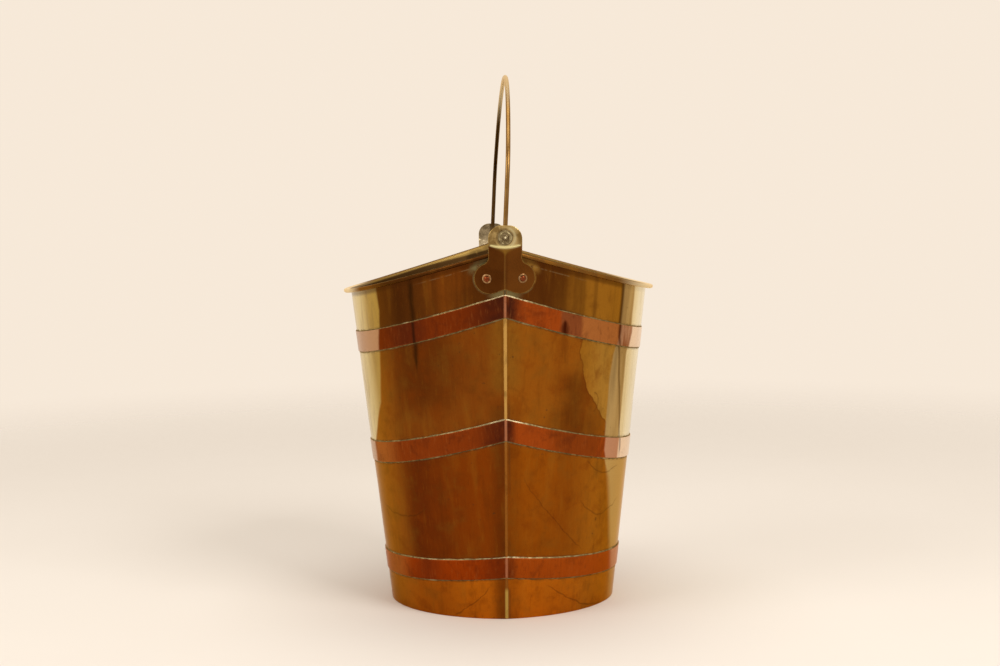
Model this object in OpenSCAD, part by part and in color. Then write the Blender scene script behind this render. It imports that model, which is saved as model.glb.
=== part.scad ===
// Boat-shaped peat bucket: two halves of sheet brass that meet in a ridge at each
// pointed end, a wired lip, three copper bands, two riveted ears and a swinging bail.
// Lengths are in millimetres and angles in degrees. X runs across the bucket, Y from
// ridge to ridge with the front at -Y, and Z up. The origin is on the floor, under
// the middle of the foot.

/* [Foot] */
// Width of the foot, side to side
foot_w = 236; // [216:1:250]
// Length of the foot, ridge to ridge
foot_l = 214; // [196:1:232]
// How far the ridges at the foot stand out past an oval of the same width
foot_point = 7.5; // [4:0.5:12]

/* [Neck] */
// Width of the wall just under the lip, side to side
neck_w = 311; // [296:1:328]
// Length of the wall just under the lip, ridge to ridge
neck_l = 336; // [320:1:352]
// How far the ridges at the neck stand out past an oval of the same width
neck_point = 49; // [40:1:56]

/* [Height and sheet] */
// Height of the lip at the sides
side_h = 329; // [300:1:350]
// How much higher the lip is at the ridges
end_rise = 43; // [35:1:50]
// How the lip climbs to the ridges: more keeps the sides level for longer
sheer = 1.1; // [1:0.05:1.3]
// Thickness of the sheet brass
sheet_t = 0.9; // [0.7:0.1:1.2]

/* [Wired lip] */
// How far the lip stands out from the wall
lip_w = 7.6; // [7:0.1:9]
// Centre-line radius of the bend where the wall turns out
lip_bend_r = 2; // [1.5:0.1:2.5]
// Diameter of the wire in the roll
rim_wire_d = 2.2; // [1.8:0.1:2.6]
// Gap between the wire and the sheet rolled round it
wire_gap = 0.05; // [0.05:0.01:0.1]

/* [Bottom] */
// Height of the top face of the bottom plate
bottom_z = 9; // [6:0.5:14]
// Thickness of the bottom plate
bottom_t = 1; // [0.8:0.1:1.4]
// Height of the lower edge of its flange, just off the floor
flange_z = 0.5; // [0.3:0.1:1.5]
// Solder gap between the flange and the wall
flange_gap = 0.1; // [0.1:0.01:0.2]

/* [Bands] */
// Width of the copper bands
band_w = 21; // [17:0.5:24]
// Thickness of the copper bands
band_t = 1; // [0.8:0.1:1.4]
// Bevel on the outer edges of the bands
band_bevel = 0.3; // [0.2:0.05:0.4]
// Solder gap between a band and the wall
solder_gap = 0.12; // [0.1:0.01:0.2]
// How far the middle of the top band lies below the lip, all the way round
top_band_drop = 55; // [54.5:0.5:66]
// Height of the middle of the middle band at the sides
middle_band_z = 159.5; // [140:0.5:175]
// How much the middle band climbs to the ridges
middle_band_rise = 36; // [26:1:44]
// Height of the middle of the bottom band at the sides
bottom_band_z = 43.5; // [36:0.5:55]
// How much the bottom band climbs to the ridges
bottom_band_rise = 11; // [6:1:16]

/* [Ears] */
// Thickness of the ears
ear_t = 2; // [1.6:0.1:2.4]
// Gap between an ear and the wall it is riveted to
ear_gap = 0.15; // [0.12:0.01:0.2]
// Least gap between an ear and the roll of the lip
ear_standoff = 0.6; // [0.5:0.1:1.2]
// Radius of the two lower lobes
lobe_r = 15; // [13:0.5:16]
// How far the middle of each lobe lies to the side of the ridge
lobe_x = 14.2; // [13:0.1:15.5]
// How far the middle of each lobe lies below the top of the ridge
lobe_drop = 28; // [27:0.5:29]
// How far the notch between the lobes lies below the top of the ridge
notch_drop = 39; // [36:0.5:41]
// How far the plate follows the wall before it leans out over the lip
lean_drop = 23; // [21:0.5:23]
// Height of the bend into the upright tab, above the top of the ridge
tab_bend_rise = 1.7; // [1:0.1:3]
// Width of the upright tab
tab_w = 31.8; // [28:0.1:34]
// Height of the tab's top above the top of the ridge
tab_rise = 22; // [20.5:0.5:26]
// Radius of the tab's two top corners
tab_corner_r = 12.5; // [9:0.5:13.5]
// Radius of the hollows between the tab and the lobes
hollow_r = 7; // [4:0.5:9]

/* [Rivets] */
// Diameter of the rivet shanks
rivet_d = 5; // [4:0.1:5.5]
// Clearance round a rivet shank
rivet_gap = 0.05; // [0.03:0.01:0.1]
// Diameter of the domed heads
rivet_head_d = 9.3; // [8:0.1:10]
// Height of the domed heads
rivet_head_h = 2.3; // [1.8:0.1:2.8]
// Diameter of the peened tails inside the bucket
rivet_tail_d = 8; // [7:0.1:9]
// Height of the peened tails
rivet_tail_h = 1.2; // [1:0.1:1.6]
// Gap under the heads and tails
rivet_seat = 0.14; // [0.1:0.01:0.2]
// How far each rivet sits to the side of the ridge
rivet_x = 16.3; // [15:0.1:18]

/* [Bail] */
// Diameter of the bail rod
bail_d = 4.5; // [4:0.1:5.5]
// Height of the bail's top above its pivots, to the middle of the rod
bail_h = 164; // [150:1:180]
// Height of its straight legs above the pivots
bail_leg_h = 54; // [40:1:65]
// Bend radius where the legs curve in towards the crown
haunch_r = 52; // [40:1:70]
// Bend radius where the legs turn out through the ears
foot_bend_r = 5.5; // [5:0.1:7]
// Clearance of the rod in the ears
pivot_gap = 0.08; // [0.05:0.01:0.1]
// Height of the pivots above the top of the ridge
pivot_rise = 10.7; // [9.5:0.1:12]
// Gap between the rod's bend and the inside of an ear
inner_play = 1; // [0.6:0.1:1.5]
// Tilt at which the bail stands at rest
bail_lean = 3.1; // [0:0.1:6]

/* [Bail ends] */
// Diameter of the washers
washer_d = 14.3; // [12:0.1:16]
// Thickness of the washers
washer_t = 1.4; // [1:0.1:2]
// Gap between a washer and the outside of its ear
washer_play = 0.3; // [0.3:0.05:0.5]
// Gap between a washer and the rod and peened head that hold it
washer_gap = 0.05; // [0.03:0.01:0.1]
// Diameter of the peened heads
peen_d = 7.6; // [7:0.1:9]
// Height of the peened heads
peen_h = 2.1; // [1.6:0.1:3]

/* [Hidden] */

// Flats along one half of the bucket, and the angle that each one spans
half_steps = 44;
step = 180 / half_steps;
half_angles = [for (i = [0 : half_steps]) -90 + i * step];
// Flats in the lip's bend, in its roll and round the wire
bend_steps = 4;
roll_steps = 10;
wire_steps = 8;
// Facets of the round parts and of the ears' outline
round_fn = 48;
outline_fn = 40;
// Facets of a full turn of the bail's bends
turn_fn = 144;
// Length of the collars that join the bail's bends, and how little they stand proud
collar_l = 2;
collar_swell = 0.05;
// Spare length of a cutter past the face it cuts
over = 1;

brass = "#b08a3a";
dark_brass = "#8c6a34";
copper = "#b5583a";
iron = "#55524d";

// Top of the ridges, with the sheet's roll over the wire
end_h = side_h + end_rise;
roll_r = rim_wire_d / 2 + wire_gap + sheet_t / 2;
roll_mid = [lip_w - roll_r - sheet_t / 2, -(roll_r + sheet_t / 2)];
bend_mid = [lip_bend_r - sheet_t / 2, -(lip_bend_r + sheet_t / 2)];
roll_depth = 2 * roll_r + sheet_t;

// Heights on an ear
ear_low_z = end_h - lobe_drop - lobe_r - over;
lean_z = end_h - lean_drop;
tab_bend_z = end_h + tab_bend_rise;
tab_top_z = end_h + tab_rise;
rivet_z = end_h - lobe_drop;
pivot_z = end_h + pivot_rise;

function mix(a, b, share) = a + (b - a) * share;
function unit(v) = v / norm(v);
function arc(r, mid, from, to, steps) =
    [for (i = [0 : steps]) let (a = mix(from, to, i / steps)) mid + r * [cos(a), sin(a)]];

// The plan of the wall is an oval drawn out to a point at each end. The angle g runs
// from -90 at the front ridge over 0 at the right side to 90 at the back ridge, and
// share from 0 at the foot to 1 at the neck.
function half_width(share) = mix(foot_w, neck_w, share) / 2;
function point_out(share) = mix(foot_point, neck_point, share);
function oval_length(share) = mix(foot_l, neck_l, share) / 2 - point_out(share);
function end_of(g) = g < 0 ? -1 : 1;
function plan(g, share) = [half_width(share) * cos(g), end_of(g)
    * (oval_length(share) * sin(abs(g)) + point_out(share) * (1 - cos(g)))];
function plan_normal(g, share) = unit([
    oval_length(share) * cos(g) + point_out(share) * sin(abs(g)),
    end_of(g) * half_width(share) * sin(abs(g))]);

// Lines that climb from the sides to the ridges
function climb(g) = pow(1 - cos(g), sheer);
function lip_z(g) = side_h + end_rise * climb(g);
function top_band_mid(g) = lip_z(g) - top_band_drop;
function middle_band_mid(g) = middle_band_z + middle_band_rise * climb(g);
function bottom_band_mid(g) = bottom_band_z + bottom_band_rise * climb(g);

// A point at height z, out from the outer face of the wall. The ridges are mitred.
function wall_point(g, z, out) =
    let (share = z / lip_z(g), p = plan(g, share), n = plan_normal(g, share))
    abs(g) == 90 ? [0, p.y + out / n.y, z] : [p.x + out * n.x, p.y + out * n.y, z];

// The direction square to the wall, for the rivets
function wall_normal(g, z) = unit(cross(
    wall_point(g + step / 4, z, 0) - wall_point(g - step / 4, z, 0),
    wall_point(g, z + over, 0) - wall_point(g, z - over, 0)));

// Joins sections of equal length, each listed up its outer side and down its inner one.
// The next section lies to the right of the last, seen from outside.
module skin(sections) {
    n = len(sections[0]);
    last = len(sections) - 1;
    walls = [for (c = [0 : last - 1], i = [0 : n - 1])
        let (a = c * n + i, b = c * n + (i + 1) % n)
        each [[a, b, b + n], [a, b + n, a + n]]];
    caps = [for (i = [0 : n / 2 - 2], end = [0, last])
        let (a = end * n + i, d = end * n + n - 1 - i)
        each end == 0 ? [[a, d, a + 1], [a + 1, d, d - 1]]
            : [[a, a + 1, d], [a + 1, d - 1, d]]];
    polyhedron([for (s = sections) each s], concat(walls, caps), convexity = 10);
}

// A sleeve round the right-hand half, whose section(g) lists [out, z]
module half_sleeve(section) {
    skin([for (g = half_angles) [for (s = section(g)) wall_point(g, s[1], s[0])]]);
}

// Points of one level line all the way round, starting at the front ridge
function full_ring(level) = let (right = [for (g = half_angles) let (s = level(g))
        wall_point(g, s[1], s[0])])
    concat(right, [for (i = [half_steps - 1 : -1 : 1]) [-right[i].x, right[i].y, right[i].z]]);

module mirrored_left() {
    mirror([1, 0, 0]) children();
}

module turned_back() {
    rotate([0, 0, 180]) children();
}

// Body: the wall with its lip turned out flat and rolled down round the wire.
// Its rows lie at the edges of what is soldered to it.
function wall_rows(g) = [0, bottom_z,
    bottom_band_mid(g) - band_w / 2, bottom_band_mid(g) + band_w / 2,
    middle_band_mid(g) - band_w / 2, middle_band_mid(g) + band_w / 2,
    top_band_mid(g) - band_w / 2, top_band_mid(g) + band_w / 2];

// One face of the lip: side is -1 on the wire's side and 1 on the other
function lip_face(g, side) = [for (p = concat(
    arc(lip_bend_r + side * sheet_t / 2, bend_mid, 180, 90, bend_steps),
    arc(roll_r + side * sheet_t / 2, roll_mid, 90, -180, roll_steps)))
    p + [0, lip_z(g)]];

function reversed(list) = [for (i = [len(list) - 1 : -1 : 0]) list[i]];

function wall_section(g) = concat(
    [for (z = wall_rows(g)) [0, z]], lip_face(g, -1),
    reversed(lip_face(g, 1)), reversed([for (z = wall_rows(g)) [-sheet_t, z]]));

module half_body() {
    difference() {
        half_sleeve(function (g) wall_section(g));
        rivet_place() rivet_hole();
        turned_back() mirrored_left() rivet_place() rivet_hole();
    }
}

module body_right() {
    color(brass) half_body();
}

module body_left() {
    color(brass) mirrored_left() half_body();
}

// Bottom plate: a flat plate with a flange turned down inside the foot
module bottom_plate() {
    flange_out = -(sheet_t + flange_gap);
    rings = [full_ring(function (g) [flange_out, flange_z]),
        full_ring(function (g) [flange_out, bottom_z]),
        full_ring(function (g) [flange_out - bottom_t, flange_z]),
        full_ring(function (g) [flange_out - bottom_t, bottom_z - bottom_t])];
    n = 2 * half_steps;
    function band_of(low, high, c) = let (e = (c + 1) % n)
        [[low * n + c, high * n + c, high * n + e], [low * n + c, high * n + e, low * n + e]];
    sides = [for (c = [0 : n - 1]) each concat(
        band_of(0, 1, c), band_of(3, 2, c), band_of(2, 0, c))];
    top = [for (c = [n - 1 : -1 : 0]) n + c];
    under = [for (c = [0 : n - 1]) 3 * n + c];
    color(brass)
        polyhedron([for (r = rings) each r], concat(sides, [top, under]), convexity = 4);
}

// Rim wire: one closed ring of iron wire inside the roll of the lip
module rim_wire() {
    n = 2 * half_steps;
    rings = [for (p = arc(rim_wire_d / 2, roll_mid, 0, 360, wire_steps))
        full_ring(function (g) [p[0], p[1] + lip_z(g)])];
    sides = [for (k = [0 : wire_steps - 1], c = [0 : n - 1])
        let (a = k * n + c, b = (k + 1) % wire_steps * n + c,
            d = k * n + (c + 1) % n, e = (k + 1) % wire_steps * n + (c + 1) % n)
        each [[a, b, e], [a, e, d]]];
    points = [for (k = [0 : wire_steps - 1]) each rings[k]];
    color(iron) polyhedron(points, sides, convexity = 8);
}

// Bands: bevelled strips of copper on the wall, mitred at the ridges
module half_band(middle) {
    low = solder_gap;
    high = solder_gap + band_t;
    half = band_w / 2;
    half_sleeve(function (g) [for (s = [[high - band_bevel, -half], [high, band_bevel - half],
        [high, half - band_bevel], [high - band_bevel, half], [low, half], [low, -half]])
        s + [0, middle(g)]]);
}

module top_band_right() {
    color(copper) half_band(function (g) top_band_mid(g));
}

module top_band_left() {
    color(copper) mirrored_left() half_band(function (g) top_band_mid(g));
}

module middle_band_right() {
    color(copper) half_band(function (g) middle_band_mid(g));
}

module middle_band_left() {
    color(copper) mirrored_left() half_band(function (g) middle_band_mid(g));
}

module bottom_band_right() {
    color(copper) half_band(function (g) bottom_band_mid(g));
}

module bottom_band_left() {
    color(copper) mirrored_left() half_band(function (g) bottom_band_mid(g));
}

// Rivets: each goes square through the wall and the ear, on the right of the ridge
rivet_g = -acos(rivet_x / half_width(rivet_z / end_h));
rivet_mid = wall_point(rivet_g, rivet_z, 0);
rivet_axis = wall_normal(rivet_g, rivet_z);

module rivet_place() {
    translate(rivet_mid)
        rotate([0, acos(rivet_axis.z), atan2(rivet_axis.y, rivet_axis.x)]) children();
}

module rivet_hole() {
    reach = 2 * (sheet_t + ear_gap + ear_t);
    cylinder(r = rivet_d / 2 + rivet_gap, h = 2 * reach, center = true, $fn = round_fn);
}

// A low dome on the XY plane, part of a sphere
module dome(d, h) {
    ball_r = (d * d / 4 + h * h) / (2 * h);
    intersection() {
        translate([0, 0, h - ball_r]) sphere(r = ball_r, $fn = round_fn);
        cylinder(d = d + over, h = h + over, $fn = round_fn);
    }
}

module rivet() {
    head_z = ear_gap + ear_t + rivet_seat;
    tail_z = sheet_t + rivet_seat;
    union() {
        translate([0, 0, -tail_z]) cylinder(d = rivet_d, h = tail_z + head_z, $fn = round_fn);
        translate([0, 0, head_z]) dome(rivet_head_d, rivet_head_h);
        translate([0, 0, -tail_z]) mirror([0, 0, 1]) dome(rivet_tail_d, rivet_tail_h);
    }
}

module rivet_pair() {
    color(copper) {
        rivet_place() rivet();
        mirrored_left() rivet_place() rivet();
    }
}

module front_ear_rivets() {
    rivet_pair();
}

module back_ear_rivets() {
    turned_back() rivet_pair();
}

// Ears. The inner face of the tab stands where the leaning part just clears the roll.
ridge_y = -wall_point(-90, lean_z, ear_gap).y;
lip_y = -wall_point(-90, end_h, lip_w).y;
lean_share = (end_h - roll_depth - lean_z) / (tab_bend_z - lean_z);
tab_y = ridge_y + (lip_y + ear_standoff - ridge_y) / lean_share;

// Steps to either side of the ridge that the lobes need
ear_half_w = lobe_x + lobe_r;
ear_steps = ceil(asin(ear_half_w / half_width(ear_low_z / end_h)) / step);

// A point of the ear's plate: i counts the steps from the ridge to the right
function ear_point(i, z, out) =
    let (p = wall_point(-90 + abs(i) * step, z, out)) [sign(i) * p.x, p.y, p.z];
function tab_point(i, z, out) = [ear_point(i, lean_z, out).x, -tab_y - out + ear_gap, z];
function ear_side(i, out) = [ear_point(i, ear_low_z, out), ear_point(i, lean_z, out),
    tab_point(i, tab_bend_z, out), tab_point(i, tab_top_z + over, out)];

module ear_plate() {
    skin([for (i = [-ear_steps : ear_steps])
        concat(ear_side(i, ear_gap + ear_t), reversed(ear_side(i, ear_gap)))]);
}

// The ear seen from the front, with 0 at the ridge and at the top of the ridge
module ear_outline() {
    neck_low = -lobe_drop;
    tab_flat = tab_rise - tab_corner_r;
    offset(r = -hollow_r, $fn = outline_fn) offset(r = hollow_r, $fn = outline_fn) {
        for (side = [-1, 1]) {
            translate([side * lobe_x, -lobe_drop]) circle(r = lobe_r, $fn = outline_fn);
            translate([side * (tab_w / 2 - tab_corner_r), tab_flat])
                circle(r = tab_corner_r, $fn = outline_fn);
        }
        translate([-tab_w / 2, neck_low]) square([tab_w, tab_flat - neck_low]);
        translate([tab_corner_r - tab_w / 2, neck_low])
            square([tab_w - 2 * tab_corner_r, tab_rise - neck_low]);
        translate([-lobe_x, -notch_drop]) square([2 * lobe_x, notch_drop - lobe_drop]);
    }
}

module ear() {
    color(dark_brass) difference() {
        intersection() {
            ear_plate();
            translate([0, 0, end_h]) rotate([90, 0, 0])
                linear_extrude(height = tab_y + ear_t + over) ear_outline();
        }
        rivet_place() rivet_hole();
        mirrored_left() rivet_place() rivet_hole();
        translate([0, -tab_y, pivot_z]) rotate([90, 0, 0])
            cylinder(r = bail_d / 2 + pivot_gap, h = 4 * ear_t, center = true, $fn = round_fn);
    }
}

module front_ear() {
    ear();
}

module back_ear() {
    turned_back() ear();
}

// Bail: one rod bent in one plane, with stubs that go out through the ears.
// It is drawn with its pivots at Z 0 in the plane across the bucket's length.
leg_y = tab_y - inner_play - foot_bend_r;
washer_y = tab_y + ear_t + washer_play;
peen_y = washer_y + washer_t + washer_gap;
crown_drop = bail_h - bail_leg_h;
crown_r = (pow(leg_y - haunch_r, 2) + pow(crown_drop, 2) - pow(haunch_r, 2))
    / (2 * (crown_drop - haunch_r));
crown_half = asin((leg_y - haunch_r) / (crown_r - haunch_r));

// Part of a ring of rod in the YZ plane, from one angle to the next
module rod_arc(mid, r, from, to) {
    translate([0, mid[0], mid[1]]) rotate([90, 0, 90]) rotate([0, 0, from])
        rotate_extrude(angle = to - from, $fn = turn_fn)
            translate([r, 0]) circle(d = bail_d, $fn = round_fn);
}

// Where a haunch runs into the crown
crown_start = [0, crown_r * sin(crown_half), bail_h - crown_r + crown_r * cos(crown_half)];

module bail_half() {
    stub_y = leg_y + foot_bend_r;
    union() {
        translate([0, stub_y, 0]) rotate([-90, 0, 0])
            cylinder(d = bail_d, h = peen_y - stub_y, $fn = round_fn);
        translate([0, peen_y, 0]) rotate([-90, 0, 0]) dome(peen_d, peen_h);
        rod_arc([stub_y, foot_bend_r], foot_bend_r, 180, 270);
        translate([0, leg_y, foot_bend_r])
            cylinder(d = bail_d, h = bail_leg_h - foot_bend_r, $fn = round_fn);
        rod_arc([leg_y - haunch_r, bail_leg_h], haunch_r, 0, 90 - crown_half);
        translate(crown_start) rotate([-90 - crown_half, 0, 0])
            cylinder(d = bail_d + 2 * collar_swell, h = collar_l, center = true, $fn = round_fn);
    }
}

// Stands the bail and its washers on the pivots, at the tilt of rest
module on_pivots() {
    translate([0, 0, pivot_z]) rotate([0, bail_lean, 0]) children();
}

module bail() {
    color(brass) on_pivots() union() {
        bail_half();
        mirror([0, 1, 0]) bail_half();
        rod_arc([0, bail_h - crown_r], crown_r, 90 - crown_half, 90 + crown_half);
    }
}

module washer() {
    color(dark_brass) on_pivots() translate([0, washer_y, 0]) rotate([-90, 0, 0])
        difference() {
            cylinder(d = washer_d, h = washer_t, $fn = round_fn);
            translate([0, 0, -over]) cylinder(r = bail_d / 2 + washer_gap,
                h = washer_t + 2 * over, $fn = round_fn);
        }
}

module front_bail_washer() {
    mirror([0, 1, 0]) washer();
}

module back_bail_washer() {
    washer();
}

body_left();
body_right();
bottom_plate();
rim_wire();
top_band_left();
top_band_right();
middle_band_left();
middle_band_right();
bottom_band_left();
bottom_band_right();
front_ear();
back_ear();
front_ear_rivets();
back_ear_rivets();
bail();
front_bail_washer();
back_bail_washer();
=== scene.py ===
# Peat bucket: the finish of every piece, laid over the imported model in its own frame.
# Lengths are in metres. X runs across the bucket, its front ridge lies at -Y, Z is up.
import math
from functools import cached_property

import bmesh
import bpy
import numpy as np
from mathutils import Matrix, Vector
from mathutils.geometry import delaunay_2d_cdt


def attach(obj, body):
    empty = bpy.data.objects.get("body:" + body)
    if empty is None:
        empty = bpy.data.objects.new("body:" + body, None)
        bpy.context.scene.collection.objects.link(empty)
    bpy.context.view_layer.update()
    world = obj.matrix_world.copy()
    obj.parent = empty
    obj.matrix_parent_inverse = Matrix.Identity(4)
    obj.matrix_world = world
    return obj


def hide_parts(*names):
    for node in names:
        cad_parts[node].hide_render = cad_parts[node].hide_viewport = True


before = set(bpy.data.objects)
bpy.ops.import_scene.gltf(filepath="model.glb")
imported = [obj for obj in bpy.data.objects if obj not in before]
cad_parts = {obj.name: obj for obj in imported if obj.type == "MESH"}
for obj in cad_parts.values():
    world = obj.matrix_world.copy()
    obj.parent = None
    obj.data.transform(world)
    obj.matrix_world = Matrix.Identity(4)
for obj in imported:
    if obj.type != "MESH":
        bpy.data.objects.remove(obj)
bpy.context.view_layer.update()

# Walls: two halves of sheet brass, bent round a former, butted at the ridges and brazed.
# Their top edge is turned out flat and rolled down round an iron wire. Outside they have
# aged to amber, with painted reflection: pale strips where the sides bulge, and ambers that
# differ from field to field. Inside they are dull, with painted shade below the rim.
foot_w = 0.236
foot_l = 0.214
foot_point = 0.0075
neck_w = 0.311
neck_l = 0.336
neck_point = 0.049
side_h = 0.329
end_rise = 0.043
sheer = 1.1
sheet_t = 0.0009
lip_w = 0.0076
lip_bend_r = 0.002
rim_wire_r = 0.0011
wire_gap = 0.00005
end_h = side_h + end_rise
front_ridge = -math.pi / 2
back_ridge = math.pi / 2


def mix(a, b, share):
    return a + (b - a) * share


def eased(value, low, high):
    """Rises smoothly from 0 at low to 1 at high."""
    t = np.clip((value - low) / (high - low), 0, 1)
    return t * t * (3 - 2 * t)


def climb(g):
    return (1 - np.cos(g)) ** sheer


def lip_height(g):
    return side_h + end_rise * climb(g)


def half_width(share):
    return mix(foot_w, neck_w, share) / 2


# Knocks of an old bucket: where each lies, how wide it is and how deep. None of them
# reaches the ridges, the foot or the lip, where the sheet is stiff.
knock_count = 46
knock_depth = 0.00042
mean_r = 0.15
knocks = {}
for side, seed in ((1, 4), (-1, 11)):
    dice = np.random.default_rng(seed)
    knocks[side] = [(dice.uniform(-1.4, 1.4), dice.uniform(0.03, 0.31), dice.uniform(0.012, 0.045),
                     dice.uniform(-1, 0.5)) for k in range(knock_count)]


def knocked(g, z, side):
    depth = 0
    for at, height, spread, push in knocks[side]:
        depth = depth + push * np.exp(-(((g - at) * mean_r) ** 2 + (z - height) ** 2) / spread**2)
    stiff = eased(np.cos(g), 0.1, 0.4) * eased(z, 0.004, 0.03) * eased(lip_height(g) - z, 0.012, 0.05)
    return knock_depth * depth * stiff


def wall_point(g, z, out, side):
    """A point out from the wall's outer face: g runs from the front ridge to the back one."""
    g, z, out = np.broadcast_arrays(np.asarray(g, float), z, out)
    share = z / lip_height(g)
    half = half_width(share)
    point = mix(foot_point, neck_point, share)
    oval = mix(foot_l, neck_l, share) / 2 - point
    end = np.where(g < 0, -1, 1)
    across = half * np.cos(g)
    along = end * (oval * np.sin(abs(g)) + point * (1 - np.cos(g)))
    turn_x = oval * np.cos(g) + point * np.sin(abs(g))
    turn_y = end * half * np.sin(abs(g))
    size = np.hypot(turn_x, turn_y)
    turn_x, turn_y = turn_x / size, turn_y / size
    proud = out + knocked(g, z, side)
    ridge = np.isclose(abs(g), back_ridge)
    x = np.where(ridge, 0, across + proud * turn_x)
    y = np.where(ridge, along + proud / np.where(ridge, turn_y, 1), along + proud * turn_y)
    return np.stack([side * x, y, z], -1)


def shown(name, data):
    """A mesh, lamp or camera put into the scene."""
    made = bpy.data.objects.new(name, data)
    bpy.context.scene.collection.objects.link(made)
    return made


def piece(name, points, faces, body, finish, marks=None, crease=30):
    """A mesh piece that rides on a body. Its marks are values at its points for the finish."""
    mesh = bpy.data.meshes.new(name)
    mesh.from_pydata(np.asarray(points).reshape(-1, 3).tolist(), [], faces)
    for mark, values in (marks or {}).items():
        values = np.asarray(values, np.float32).ravel()
        mesh.attributes.new(mark, "FLOAT", "POINT").data.foreach_set("value", values)
    shape = bmesh.new()
    shape.from_mesh(mesh)
    bmesh.ops.recalc_face_normals(shape, faces=shape.faces)
    shape.to_mesh(mesh)
    shape.free()
    mesh.polygons.foreach_set("use_smooth", [True] * len(mesh.polygons))
    mesh.set_sharp_from_angle(angle=math.radians(crease))
    mesh.materials.append(finish)
    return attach(shown(name, mesh), body)


def skin(rows, around, first=0, looped=False, capped=False):
    """Faces over equal closed rows of points, and from the last row to the first, or with caps."""
    faces = []
    for k in range(rows if looped else rows - 1):
        low = first + k * around
        high = first + (k + 1) % rows * around
        for i in range(around):
            j = (i + 1) % around
            faces.append((low + i, low + j, high + j, high + i))
    if capped:
        for start in (first, first + (rows - 1) * around):
            faces.append(tuple(range(start, start + around)))
    return faces


def sheet_skin(rows, around):
    """Faces of a strip of sheet: each row of points goes up its outer face and down its inner."""
    faces = skin(rows, around)
    for start in (0, (rows - 1) * around):
        for i in range(around // 2 - 1):
            far = start + around - 1 - i
            faces.append((start + i, start + i + 1, far - 1, far))
    return faces


def worked(how, swapped=False):
    """A sign of arithmetic for spreads, done by a node of the finish."""
    def work(self, *other):
        values = (*other, self) if swapped else (self, *other)
        return self.finish.lay("Math", dict(enumerate(values)), operation=how)
    return work


class Spread:
    """A value or colour that differs from place to place on a piece, as a node puts it out.

    Two spreads, or a spread and a number, are worked out with the usual signs. The greater
    of two is a | b, the lesser a & b.
    """

    def __init__(self, finish, socket):
        self.finish = finish
        self.socket = socket

    __add__ = __radd__ = worked("ADD")
    __sub__ = worked("SUBTRACT")
    __rsub__ = worked("SUBTRACT", swapped=True)
    __mul__ = worked("MULTIPLY")
    __pow__ = worked("POWER")
    __abs__ = worked("ABSOLUTE")
    __or__ = worked("MAXIMUM")
    __and__ = worked("MINIMUM")

    def between(self, low, high):
        """0 below low and 1 above high, smooth in between, or the other way about."""
        inputs = {"Value": self, "From Min": low, "From Max": high}
        return self.finish.lay("MapRange", inputs, interpolation_type="SMOOTHSTEP")

    def near(self, at, reach):
        """1 where the value is at the given one, falling to 0 within the reach."""
        return abs(self - at).between(reach, 0)

    def ramp(self, low, high, at_low, at_high):
        """A straight rise or fall from one value at low to another at high."""
        return self.finish.lay("MapRange", {0: self, 1: low, 2: high, 3: at_low, 4: at_high})

    def path(self, *stops):
        """A bent line through stops given as (value, height), level beyond the ends."""
        line = stops[0][1]
        for (low, a), (high, b) in zip(stops, stops[1:]):
            line = line + self.ramp(low, high, 0, b - a)
        return line

    def blend(self, a, b):
        """Colour a where this share is 0, colour b where it is 1."""
        return self.finish.lay("Mix", {0: self, 6: a, 7: b}, out=2, data_type="RGBA")

    def paint(self, colour, share):
        """Lays a colour over this one, as far as the share says."""
        self.socket = share.blend(Spread(self.finish, self.socket), colour).socket


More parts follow.
